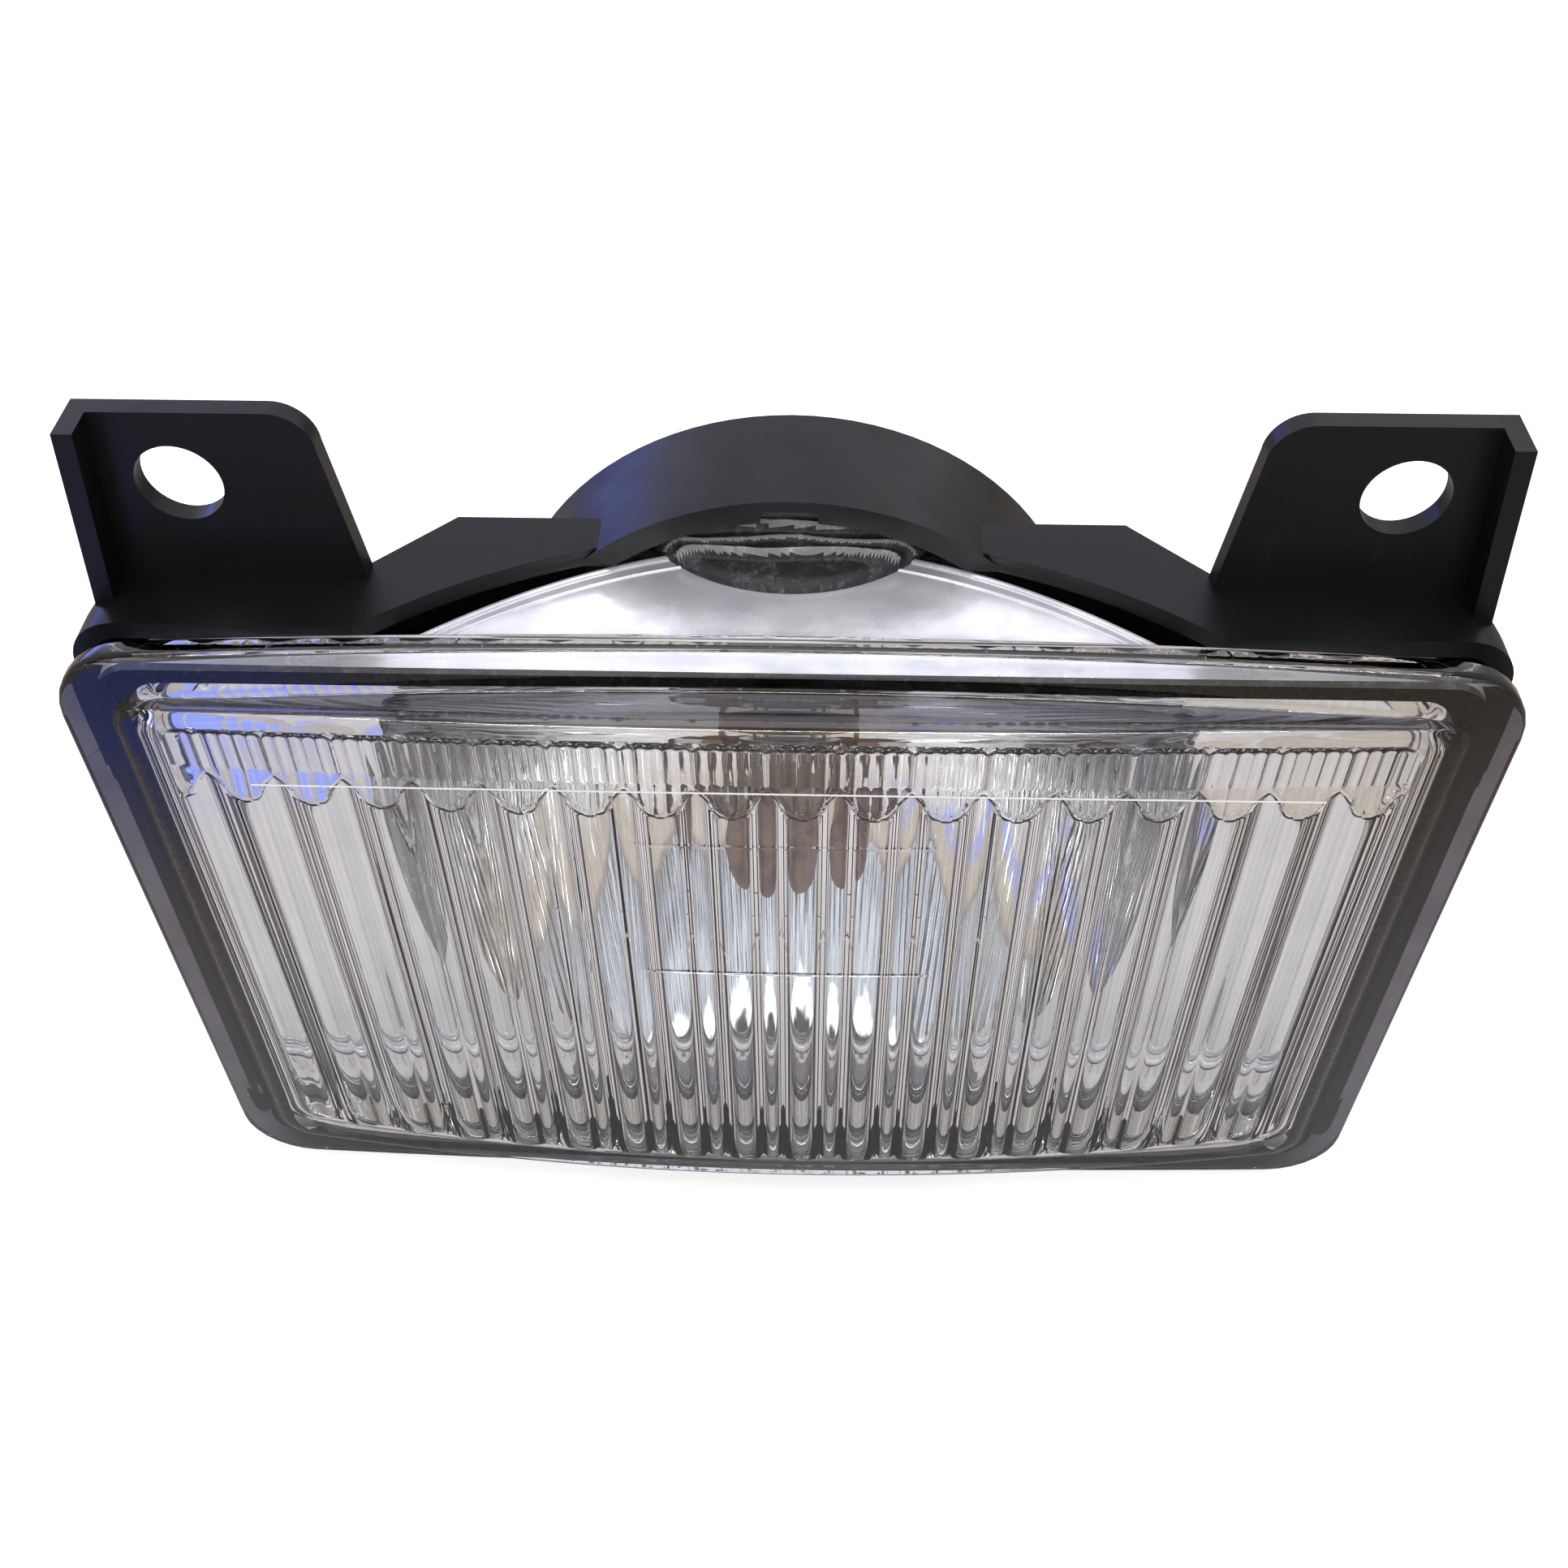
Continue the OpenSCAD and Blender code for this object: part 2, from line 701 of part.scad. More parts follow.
module shield_rivets() {
    foot_y = floor_y - shield_t;
    color("#c4c7cb") place() for (s = [-1, 1]) translate([s * rivet_at, 0, 0]) {
        rod_y(rivet_r, foot_y - 0.2, seat_y + 0.2);
        rod_y(rivet_r + 0.7, foot_y - 0.8, foot_y - 0.01);
        rod_y(rivet_r + 0.5, seat_y + 0.01, seat_y + 0.6);
    }
}

module bulb_capsule() {
    round_y = capsule_tip + capsule_r;
    color([0.95, 0.95, 0.9, 0.4]) place() difference() {
        union() {
            rod_y(capsule_r, round_y, capsule_root);
            translate([0, round_y, axis_z]) sphere(r = capsule_r);
        }
        rod_y(capsule_r - 1, round_y, capsule_root - 2.5);
        translate([0, round_y, axis_z]) sphere(r = capsule_r - 1);
    }
}

module bulb_base() {
    color("#b7babd") place() difference() {
        rod_y(base_r, capsule_root - 3, contact_y1 - 3.5);
        rod_y(capsule_r + 0.03, capsule_root - 3 - over, capsule_root + 0.02);
        rod_y(contact_r + 0.03, seat_y, contact_y1);
    }
}

module bulb_flange() {
    color("#a8abad") place() difference() {
        rod_y(flange_r, seat_y + 0.02, seat_y + bulb_flange_t);
        rod_y(base_r + 0.02, seat_y - over, seat_y + bulb_flange_t + over);
        // locating notch
        translate([-1.5, seat_y - over, axis_z + flange_r - 1.2]) cube([3, 2 * over + bulb_flange_t, 2]);
    }
}

module bulb_contact() {
    color("#c9a94e") place() rod_y(contact_r, seat_y + 0.02, contact_y1);
}

module filament() {
    coil_r = 0.9;
    color("#9a9a98") place() translate([-2.6, filament_y, axis_z]) rotate([0, 90, 0])
        cylinder(r = coil_r, h = 5.2);
}

module filament_posts() {
    post_r = 0.35;
    color("#aaaaaa") place() for (s = [-1, 1]) translate([s * (2.62 + post_r), 0, 0])
        rod_y(post_r, filament_y - 1, capsule_root - 2.55);
}

// ---- aiming screw, cap and ring ----

module aim_screw() {
    knurls = 12;
    color("#c2c5c8") place() translate([aim_x, 0, aim_z]) rotate([-90, 0, 0]) {
        translate([0, 0, aim_tip_y]) cylinder(r = aim_r, h = aim_clip_y - aim_clip_t - aim_tip_y);
        translate([0, 0, aim_clip_y - aim_clip_t - eps])
            cylinder(r = aim_r - 0.6, h = aim_clip_t + 2 * eps);
        translate([0, 0, aim_clip_y]) cylinder(r = aim_r, h = aim_head_y - aim_clip_y + eps);
        difference() {
            translate([0, 0, aim_head_y]) cylinder(r = aim_head_r, h = aim_head_len);
            for (i = [0:knurls - 1]) rotate([0, 0, 360 / knurls * i])
                translate([aim_head_r + 0.35, 0, aim_head_y - over])
                    cylinder(r = 0.8, h = aim_head_len + 2 * over, $fn = 24);
            translate([-0.6, -aim_head_r - over, aim_head_y + aim_head_len - 1.5])
                cube([1.2, 2 * aim_head_r + 2 * over, 2]);
        }
    }
}

module aim_clip() {
    color("#4a4d52") place() translate([aim_x, 0, aim_z]) rotate([-90, 0, 0])
        translate([0, 0, aim_clip_y - aim_clip_t + 0.02]) difference() {
            cylinder(r = aim_r + 1.6, h = aim_clip_t - 0.04);
            translate([0, 0, -over]) cylinder(r = aim_r - 0.58, h = aim_clip_t + 2 * over);
            translate([-aim_r + 0.7, 0, -over]) cube([2 * aim_r - 1.4, aim_r + 2, aim_clip_t + 2 * over]);
        }
}

module rear_cap() {
    color("#1a1b1d") place() difference() {
        union() {
            rod_y(cap_r, cap_y0, cap_y1);
            for (i = [0:lug_count - 1]) about_axis(360 / lug_count * i + 60)
                turned(lug_w) translate([cap_r - over, lug_y0]) square([over + lug_reach, lug_t]);
            translate([-grip_len / 2, cap_y1 - eps, axis_z - grip_w / 2])
                cube([grip_len, grip_h, grip_w]);
        }
        rod_y(cap_r - cap_t, cap_y0 - over, cap_y1 - cap_t);
        // groove for the seal
        turned() translate([cap_r, seal_y]) circle(r = seal_r + 0.02);
        translate([0, 0, vent_x]) rod_y(vent_r * 0.6 + 0.02, cap_y1 - cap_t - over, cap_y1 + over);
    }
}

module cap_seal() {
    color("#8a2b22") place() intersection() {
        turned() translate([cap_r, seal_y]) circle(r = seal_r);
        rod_y(cap_r, cap_y0, cap_y1);
    }
}

module vent_plug() {
    color("#3c3e41") place() translate([0, 0, vent_x]) {
        rod_y(vent_r * 0.6, cap_y1 - cap_t, cap_y1 + 0.02);
        rod_y(vent_r, cap_y1 + 0.01, cap_y1 + 1.2);
    }
}

module retainer_ring() {
    notch_play = 1.5;
    color("#b3a36a") place() difference() {
        union() {
            rod_y(ring_r, ring_y0, ring_y0 + ring_t);
            // finger tabs
            for (i = [0:ring_lug_count - 1]) about_axis(360 / ring_lug_count * i + 75)
                translate([-1, ring_y0, axis_z + ring_hole_r + 0.6])
                    cube([2, ring_t + 1.4, ring_lug_r - ring_hole_r - 1.2]);
        }
        rod_y(ring_hole_r, ring_y0 - over, ring_y0 + ring_t + 3);
        // notches that let the ring pass its lugs when it is turned back
        for (i = [0:ring_lug_count - 1])
            about_axis(360 / ring_lug_count * i + ring_turn - notch_play)
                turned(ring_lug_w + 2 * notch_play)
                    translate([ring_lug_r - slip, ring_y0 - over]) square([4, ring_t + 2 * over]);
    }
}

bracket_frame();
pivot_pins();
aim_bush();
boot();
connector_socket();
socket_gasket();
socket_terminals();
bulb_leads();
lead_sleeves();
lens();
lens_seal();
reflector();
pivot_bushes();
aim_nut();
bulb_shield();
shield_rivets();
bulb_capsule();
bulb_base();
bulb_flange();
bulb_contact();
filament();
filament_posts();
aim_screw();
aim_clip();
rear_cap();
cap_seal();
vent_plug();
retainer_ring();
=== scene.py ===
"""Looks for a rectangular fog light: pressed glass lens, metallised reflector, black nylon bracket.

Lengths are written in millimetres in the lamp's own frame (X right, Y to the rear from the lens
seat, Z up from the lens centre) and at() turns them into the row frame's metres.
"""

import json
import math

import bmesh
import bpy
import numpy as np
from mathutils import Matrix, Vector, noise


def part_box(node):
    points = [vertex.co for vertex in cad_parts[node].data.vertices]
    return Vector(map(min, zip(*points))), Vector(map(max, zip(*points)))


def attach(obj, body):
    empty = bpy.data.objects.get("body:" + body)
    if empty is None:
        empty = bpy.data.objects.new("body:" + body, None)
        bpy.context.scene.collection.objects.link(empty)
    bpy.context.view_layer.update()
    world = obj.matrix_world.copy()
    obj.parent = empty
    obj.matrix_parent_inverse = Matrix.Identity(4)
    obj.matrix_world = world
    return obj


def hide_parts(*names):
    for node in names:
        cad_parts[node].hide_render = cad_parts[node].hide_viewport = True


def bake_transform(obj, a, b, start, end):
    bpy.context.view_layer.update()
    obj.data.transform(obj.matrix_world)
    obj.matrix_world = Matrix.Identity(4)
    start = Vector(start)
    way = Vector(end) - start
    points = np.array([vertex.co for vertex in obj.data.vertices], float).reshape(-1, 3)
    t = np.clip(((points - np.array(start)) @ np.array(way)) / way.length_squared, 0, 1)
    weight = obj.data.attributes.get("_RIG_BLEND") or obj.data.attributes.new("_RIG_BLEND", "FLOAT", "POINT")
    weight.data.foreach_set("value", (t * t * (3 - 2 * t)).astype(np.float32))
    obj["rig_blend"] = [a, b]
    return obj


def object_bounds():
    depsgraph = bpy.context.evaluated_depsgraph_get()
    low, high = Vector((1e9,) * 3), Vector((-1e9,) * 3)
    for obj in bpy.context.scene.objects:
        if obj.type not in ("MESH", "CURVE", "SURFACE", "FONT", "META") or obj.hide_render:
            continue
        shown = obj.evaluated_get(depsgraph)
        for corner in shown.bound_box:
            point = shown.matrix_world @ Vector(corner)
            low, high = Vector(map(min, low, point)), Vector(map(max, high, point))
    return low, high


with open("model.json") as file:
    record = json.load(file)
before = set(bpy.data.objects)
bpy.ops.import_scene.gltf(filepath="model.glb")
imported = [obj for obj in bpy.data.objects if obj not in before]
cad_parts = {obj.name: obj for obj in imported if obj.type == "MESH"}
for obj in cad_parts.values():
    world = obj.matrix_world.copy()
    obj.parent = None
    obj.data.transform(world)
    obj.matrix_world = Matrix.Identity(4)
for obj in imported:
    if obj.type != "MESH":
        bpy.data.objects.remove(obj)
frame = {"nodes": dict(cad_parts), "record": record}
cad_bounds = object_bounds()

MM = 0.001
UP = Vector((0, 0, 1))
TURN = 2 * math.pi

# ---- places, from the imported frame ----

lens_low, lens_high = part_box("lens")
origin = Vector((0, lens_high.y, (lens_low.z + lens_high.z) / 2))
shield_low, shield_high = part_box("bulb_shield")
axis_z = ((shield_low.z + shield_high.z) / 2 - origin.z) / MM
floor_z = cad_bounds[0][2]


def at(x, y, z):
    """A point of the lamp's frame, in millimetres, as a row-frame vector in metres."""
    return origin + Vector((x, y, z)) * MM


def box_mm(node):
    """A CAD node's lowest and highest corners in the lamp's frame, in millimetres."""
    low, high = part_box(node)
    return (low - origin) / MM, (high - origin) / MM


# ---- mesh helpers ----


def new_object(name, points, faces, smooth=30):
    """A mesh object from points in the lamp's frame."""
    mesh = bpy.data.meshes.new(name)
    mesh.from_pydata([at(*p) for p in points], [], faces)
    mesh.update()
    mesh.shade_smooth()
    mesh.set_sharp_from_angle(angle=math.radians(smooth))
    obj = bpy.data.objects.new(name, mesh)
    bpy.context.scene.collection.objects.link(obj)
    return obj


def place(obj, body, material, slot, *nodes):
    """Gives a piece its material and its body, and hides the CAD nodes that it stands for. Its slot is not used.
    """
    obj.data.materials.clear()
    obj.data.materials.append(material)
    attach(obj, body)
    if nodes:
        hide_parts(*nodes)
    return obj


def apply_modifiers(obj):
    """Turns an object's modifiers into its mesh."""
    bpy.context.view_layer.update()
    shown = obj.evaluated_get(bpy.context.evaluated_depsgraph_get())
    mesh = bpy.data.meshes.new_from_object(shown)
    obj.modifiers.clear()
    obj.data = mesh


def refined(node, name, edge, segments=2, sharp=32):
    """A copy of a CAD node with its flat faces joined, its edges rounded by `edge` mm and smooth shading."""
    mesh = frame["nodes"][node].data.copy()
    for attribute in [a for a in mesh.attributes if a.name == "custom_normal"]:
        mesh.attributes.remove(attribute)
    shape = bmesh.new()
    shape.from_mesh(mesh)
    bmesh.ops.remove_doubles(shape, verts=shape.verts, dist=2e-6)
    bmesh.ops.dissolve_limit(
        shape,
        angle_limit=math.radians(0.6),
        verts=shape.verts,
        edges=shape.edges,
        delimit={"NORMAL"},
    )
    shape.to_mesh(mesh)
    shape.free()
    obj = bpy.data.objects.new(name, mesh)
    bpy.context.scene.collection.objects.link(obj)
    if edge:
        bevel = obj.modifiers.new("edges", "BEVEL")
        bevel.width = edge * MM
        bevel.segments = segments
        bevel.limit_method = "ANGLE"
        bevel.angle_limit = math.radians(sharp)
        bevel.use_clamp_overlap = True
        bevel.harden_normals = False
        apply_modifiers(obj)
    obj.data.shade_smooth()
    obj.data.set_sharp_from_angle(angle=math.radians(sharp + 8))
    # flat faces keep a flat look beside their rounded edges
    weigh = obj.modifiers.new("normals", "WEIGHTED_NORMAL")
    weigh.weight = 100
    weigh.keep_sharp = True
    apply_modifiers(obj)
    return obj


def turned(name, profile, steps=96, centre=(0, None), wave=None):
    """A closed ring of (radius, depth) points turned about an axis along Y."""
    cx = centre[0]
    cz = axis_z if centre[1] is None else centre[1]
    points = []
    for i in range(steps):
        a = TURN * i / steps
        for r, y in profile:
            dr, dy = wave(r, y, a) if wave else (0, 0)
            points.append((cx + (r + dr) * math.sin(a), y + dy, cz + (r + dr) * math.cos(a)))
    n = len(profile)
    faces = []
    for i in range(steps):
        j = (i + 1) % steps
        for k in range(n):
            m = (k + 1) % n
            faces.append((i * n + k, i * n + m, j * n + m, j * n + k))
    return new_object(name, points, faces)


def tube(name, path, radius, sides=12, closed=False):
    """A round wire along points in the lamp's frame."""
    line = [Vector(p) for p in path]
    points = []
    side = None
    for i, p in enumerate(line):
        ahead = line[(i + 1) % len(line)] if closed or i + 1 < len(line) else p
        behind = line[i - 1] if closed or i else p
        run = (ahead - behind).normalized()
        side = (side or run.orthogonal()).cross(run).cross(run).normalized() * -1
        other = run.cross(side)
        for k in range(sides):
            a = TURN * k / sides
            points.append(p + side * radius * math.cos(a) + other * radius * math.sin(a))
    rings = len(line)
    faces = []
    for i in range(rings if closed else rings - 1):
        j = (i + 1) % rings
        for k in range(sides):
            m = (k + 1) % sides
            faces.append((i * sides + k, j * sides + k, j * sides + m, i * sides + m))
    if not closed:
        faces.append(tuple(range(sides)))
        faces.append(tuple((rings - 1) * sides + k for k in reversed(range(sides))))
    return new_object(name, points, faces)


# ---- materials ----


class Nodes:
    """A short way to build a material's node tree."""

    def __init__(self, name):
        self.material = bpy.data.materials.new(name)
        self.material.use_nodes = True
        self.tree = self.material.node_tree
        self.shader = self.tree.nodes["Principled BSDF"]
        self.place = self.tree.nodes.new("ShaderNodeTexCoord").outputs["Object"]

    def set(self, **values):
        """Sets constant values on the shader's own sockets, with _ for a space."""
        for key, value in values.items():
            self.shader.inputs[key.replace("_", " ")].default_value = value

    def link(self, out, socket):
        self.tree.links.new(out, self.shader.inputs[socket])

    def stretched(self, scale):
        """The object's coordinates, scaled along X, Y and Z."""
        node = self.tree.nodes.new("ShaderNodeMapping")
        node.inputs["Scale"].default_value = scale
        self.tree.links.new(self.place, node.inputs["Vector"])
        return node.outputs["Vector"]

    def noise(self, size, detail=4, roughness=0.5, distortion=0.0, place=None):
        """Noise whose patches are about `size` mm across."""
        node = self.tree.nodes.new("ShaderNodeTexNoise")
        node.inputs["Scale"].default_value = 1 / (size * MM)
        node.inputs["Detail"].default_value = detail
        node.inputs["Roughness"].default_value = roughness
        node.inputs["Distortion"].default_value = distortion
        self.tree.links.new(place or self.place, node.inputs["Vector"])
        return node.outputs["Fac"]

    def ramp(self, value, low, high, a, b):
        """A smooth step of value from `low` to `high`, as a colour or grey from a to b."""
        node = self.tree.nodes.new("ShaderNodeMapRange")
        node.interpolation_type = "SMOOTHSTEP"
        node.inputs["From Min"].default_value = low
        node.inputs["From Max"].default_value = high
        if isinstance(a, (int, float)):
            node.inputs["To Min"].default_value = a
            node.inputs["To Max"].default_value = b
            self.tree.links.new(value, node.inputs["Value"])
            return node.outputs["Result"]
        self.tree.links.new(value, node.inputs["Value"])
        return self.mix(node.outputs["Result"], a, b)

    def mix(self, share, a, b):
        """A blend of two colours."""
        node = self.tree.nodes.new("ShaderNodeMix")
        node.data_type = "RGBA"
        self.tree.links.new(share, node.inputs[0])
        for socket, colour in ((node.inputs[6], a), (node.inputs[7], b)):
            if isinstance(colour, tuple):
                socket.default_value = (*colour, 1)
            else:
                self.tree.links.new(colour, socket)
        return node.outputs[2]

    def maths(self, how, a, b):
        node = self.tree.nodes.new("ShaderNodeMath")
        node.operation = how
        for socket, value in ((node.inputs[0], a), (node.inputs[1], b)):
            if isinstance(value, (int, float)):
                socket.default_value = value
            else:
                self.tree.links.new(value, socket)
        return node.outputs[0]

    def bump(self, *heights):
        """Bumps from (value, strength, height in mm), one on top of the other."""
        normal = None
        for value, strength, height in heights:
            node = self.tree.nodes.new("ShaderNodeBump")
            node.inputs["Strength"].default_value = strength
            node.inputs["Distance"].default_value = height * MM
            self.tree.links.new(value, node.inputs["Height"])
            if normal:
                self.tree.links.new(normal, node.inputs["Normal"])
            normal = node.outputs["Normal"]
        self.link(normal, "Normal")


def moulded_plastic(name, dark, dusty, rough, grain):
    """Satin moulded plastic with a fine grain, faint flow marks, dust and scuffs."""
    m = Nodes(name)
    flow = m.noise(9, detail=3, place=m.stretched((1, 1, 0.4)))
    dust = m.noise(1.1, detail=8, roughness=0.72, distortion=0.6)
    scuff = m.noise(3.2, detail=6, roughness=0.66, place=m.stretched((1, 0.35, 0.22)))
    fine = m.noise(0.35, detail=2)
    colour = m.ramp(dust, 0.6, 0.78, dark, dusty)
    m.link(m.mix(m.ramp(scuff, 0.62, 0.8, 0.0, 0.5), colour, dusty), "Base Color")
    m.link(m.ramp(flow, 0.3, 0.7, rough - 0.06, rough + 0.09), "Roughness")
    m.set(IOR=1.5, Specular_IOR_Level=0.2)
    m.bump((fine, 0.35, grain), (flow, 0.25, 0.06))
    return m.material


def rubber(name, dark, dusty, rough=0.62):
    """Matt rubber with bloom and dust."""
    m = Nodes(name)
    bloom = m.noise(4, detail=5, roughness=0.6)
    dust = m.noise(0.7, detail=8, roughness=0.75, distortion=0.4)
    fine = m.noise(0.25, detail=2)
    both = m.maths("MULTIPLY", bloom, dust)
    m.link(m.ramp(both, 0.22, 0.42, dark, dusty), "Base Color")
    m.link(m.ramp(bloom, 0.3, 0.7, rough - 0.1, rough + 0.1), "Roughness")
    m.set(Specular_IOR_Level=0.45)
    m.bump((fine, 0.4, 0.03), (dust, 0.3, 0.04))
    return m.material


def metal(name, bright, dull, rough, streak=(1, 1, 1), size=0.6, depth=0.012):
    """Plated or drawn steel with fine streaks and cloudy patches."""
    m = Nodes(name)
    cloud = m.noise(3.5, detail=4)
    grain = m.noise(size, detail=5, roughness=0.6, place=m.stretched(streak))
    m.link(m.ramp(cloud, 0.35, 0.7, bright, dull), "Base Color")
    m.link(m.ramp(grain, 0.25, 0.75, rough - 0.07, rough + 0.1), "Roughness")
    m.set(Metallic=1.0)
    m.bump((grain, 0.5, depth))
    return m.material


def metallised(name):
    """Vacuum-metallised plastic: a mirror with faint waves from the mould."""
    m = Nodes(name)
    haze = m.noise(14, detail=5, roughness=0.6)
    waves = m.noise(9, detail=2, place=m.stretched((0.6, 1, 1)))
    peel = m.noise(1.3, detail=3)
    m.link(m.ramp(haze, 0.35, 0.75, (0.93, 0.935, 0.945), (0.86, 0.865, 0.88)), "Base Color")
    m.link(m.ramp(haze, 0.4, 0.8, 0.035, 0.09), "Roughness")
    m.set(Metallic=1.0)
    m.bump((waves, 0.55, 0.16), (peel, 0.2, 0.012))
    return m.material


def satin_silver(name):
    """The outside of the metallised shell: the same film on a rougher surface, half mirror, half satin."""
    m = Nodes(name)
    cloud = m.noise(16, detail=3, place=m.stretched((1, 1.6, 1)))
    haze = m.noise(5, detail=5, roughness=0.62, distortion=0.5)
    speck = m.noise(0.5, detail=4, roughness=0.7)
    tint = m.ramp(cloud, 0.38, 0.62, (0.93, 0.93, 0.97), (0.74, 0.73, 0.8))
    m.link(m.mix(m.ramp(haze, 0.6, 0.75, 0.0, 0.35), tint, (0.5, 0.48, 0.55)), "Base Color")
    m.link(m.ramp(haze, 0.3, 0.7, 0.16, 0.3), "Roughness")
    m.set(Metallic=0.55, Specular_IOR_Level=0.6)
    m.bump((cloud, 0.5, 0.25), (speck, 0.2, 0.01))
    return m.material


def glass(name, ior, tint, waves_mm, rough=0.0):
    """Pressed glass with a very faint wave from the tool."""
    m = Nodes(name)
    waves = m.noise(6, detail=2)
    pits = m.noise(0.8, detail=3)
    m.link(m.ramp(pits, 0.68, 0.8, rough, rough + 0.05), "Roughness")
    clearer = tuple(0.9 * c + 0.1 * c**0.5 for c in tint)
    m.link(m.ramp(waves, 0.3, 0.7, tint, clearer), "Base Color")
    m.set(Transmission_Weight=1.0, IOR=ior)
    m.bump((waves, 0.3, waves_mm))
    return m.material


def painted_highlight_glass(name):
    """Pale, matt and scattering glass, whose pale colour paints in a highlight line."""
    m = Nodes(name)
    grain = m.noise(0.4, detail=4)
    m.link(m.ramp(grain, 0.3, 0.7, (0.97, 0.97, 0.98), (0.88, 0.89, 0.92)), "Base Color")
    m.link(m.ramp(grain, 0.3, 0.7, 0.35, 0.6), "Roughness")
    m.set(Transmission_Weight=0.15, IOR=1.52)
    m.bump((grain, 0.3, 0.01))
    return m.material


BLACK = moulded_plastic("black_nylon", (0.0045, 0.005, 0.006), (0.022, 0.023, 0.025), 0.34, 0.012)
CAP_BLACK = moulded_plastic("cap_nylon", (0.009, 0.0095, 0.011), (0.03, 0.031, 0.033), 0.5, 0.03)
NATURAL = moulded_plastic("natural_nylon", (0.72, 0.69, 0.6), (0.6, 0.56, 0.46), 0.42, 0.02)
VENT = moulded_plastic("vent_plastic", (0.05, 0.05, 0.054), (0.08, 0.08, 0.083), 0.6, 0.03)
RUBBER = rubber("black_rubber", (0.012, 0.013, 0.016), (0.1, 0.105, 0.11))
# painted highlight, partly dust: pale rubber for the fold crests that face up
DUSTY_CREST_HIGHLIGHT_RUBBER = rubber("dusty_crest_highlight_rubber", (0.2, 0.215, 0.21), (0.42, 0.44, 0.43))
GREY_SILICONE = rubber("grey_silicone", (0.16, 0.16, 0.17), (0.25, 0.25, 0.25))
RED_SILICONE = rubber("red_silicone", (0.36, 0.045, 0.03), (0.42, 0.1, 0.07))
INSULATION = rubber("red_insulation", (0.33, 0.022, 0.018), (0.38, 0.05, 0.04), rough=0.35)
MIRROR = metallised("metallised")
SILVER = satin_silver("metallised_outside")
ZINC = metal("zinc_steel", (0.66, 0.67, 0.69), (0.55, 0.56, 0.56), 0.28)
SHIELD = metal("shield_steel", (0.3, 0.21, 0.17), (0.17, 0.12, 0.1), 0.34, streak=(1, 0.2, 1))
BASE = metal("base_steel", (0.62, 0.62, 0.63), (0.5, 0.48, 0.45), 0.3)
SPRING = metal("spring_steel", (0.36, 0.35, 0.33), (0.24, 0.22, 0.21), 0.34)
BRASS = metal("tinned_brass", (0.78, 0.7, 0.5), (0.68, 0.58, 0.38), 0.3)
TUNGSTEN = metal("tungsten", (0.42, 0.42, 0.41), (0.3, 0.3, 0.3), 0.4, size=0.2)
LENS_GLASS = glass("clear_glass", 1.52, (0.965, 0.985, 0.985), 0.02)
# painted shade: these two glasses are tinted dark to stand in for the black bracket seen through the lens's
# shoulder and flange
SHOULDER_PAINTED_DARK_GLASS = glass("shoulder_painted_dark_glass", 1.52, (0.075, 0.075, 0.105), 0.02)
RIM_PAINTED_DARK_GLASS = glass("rim_painted_dark_glass", 1.52, (0.015, 0.015, 0.022), 0.02)
# painted highlight: pale glass for the rod that paints in the bright line across the lens
PALE_HIGHLIGHT_GLASS = painted_highlight_glass("pale_highlight_glass")
SOOT = moulded_plastic("heat_stained_seat", (0.16, 0.085, 0.055), (0.24, 0.15, 0.11), 0.5, 0.02)
QUARTZ = glass("quartz", 1.46, (0.99, 0.99, 0.99), 0.01)

# ---- lens ----

LENS_HALF_W = lens_high.x / MM
LENS_TOP = (lens_high.z - origin.z) / MM
# the face lies this far behind the CAD's, so that its moulded lines stay inside the CAD's box
FACE_BACK = 0.1
FACE_Y = (lens_low.y - origin.y) / MM + FACE_BACK
ARCH = 2.7
CORNER_R = 9.5
FLANGE_T = 2.9
BODY_IN = 6.0
FACE_BOW = 4.4
FACE_R = ((LENS_HALF_W - BODY_IN) ** 2 + FACE_BOW**2) / (2 * FACE_BOW)
FLUTE = 7.97
FLUTE_AT = -1.94
RIB = FLUTE / 5
RIB_DEEP = 0.24
INNER_ROUND = 2.0
TROUGH_T = 2.1
RIDGE_T = 3.7
RIDGE_SHARE = 0.36
FOOT_T = 3.1
PLAIN_T = 3.2
BAND_DROP = 1.2
GROOVE_DEEP = 0.2
GROOVE_W = 0.17
RIB_TOP = 42.0
RIB_END = 35.2
LOBE_END = 31.4
FLUTE_FOOT = -43.2
MARKS = [3.6, 27.3]
MARK_DEEP = 0.08
MARK_REACH = 17.0
ROUND_W = 1.9
TOP_SHADE_W = 0.8
FACE_ON = 0.8
LINE_Z = 36.2
LINE_DROP = 5.2
LINE_REACH = 60.0


def smooth(a, b, v):
    """0 up to a, 1 beyond b, and a smooth step between."""
    t = min(1.0, max(0.0, (v - a) / (b - a)))
    return t * t * (3 - 2 * t)


def face_y(x):
    """Depth of the lens's bowed front face."""
    return FACE_Y + x * x / (2 * FACE_R)


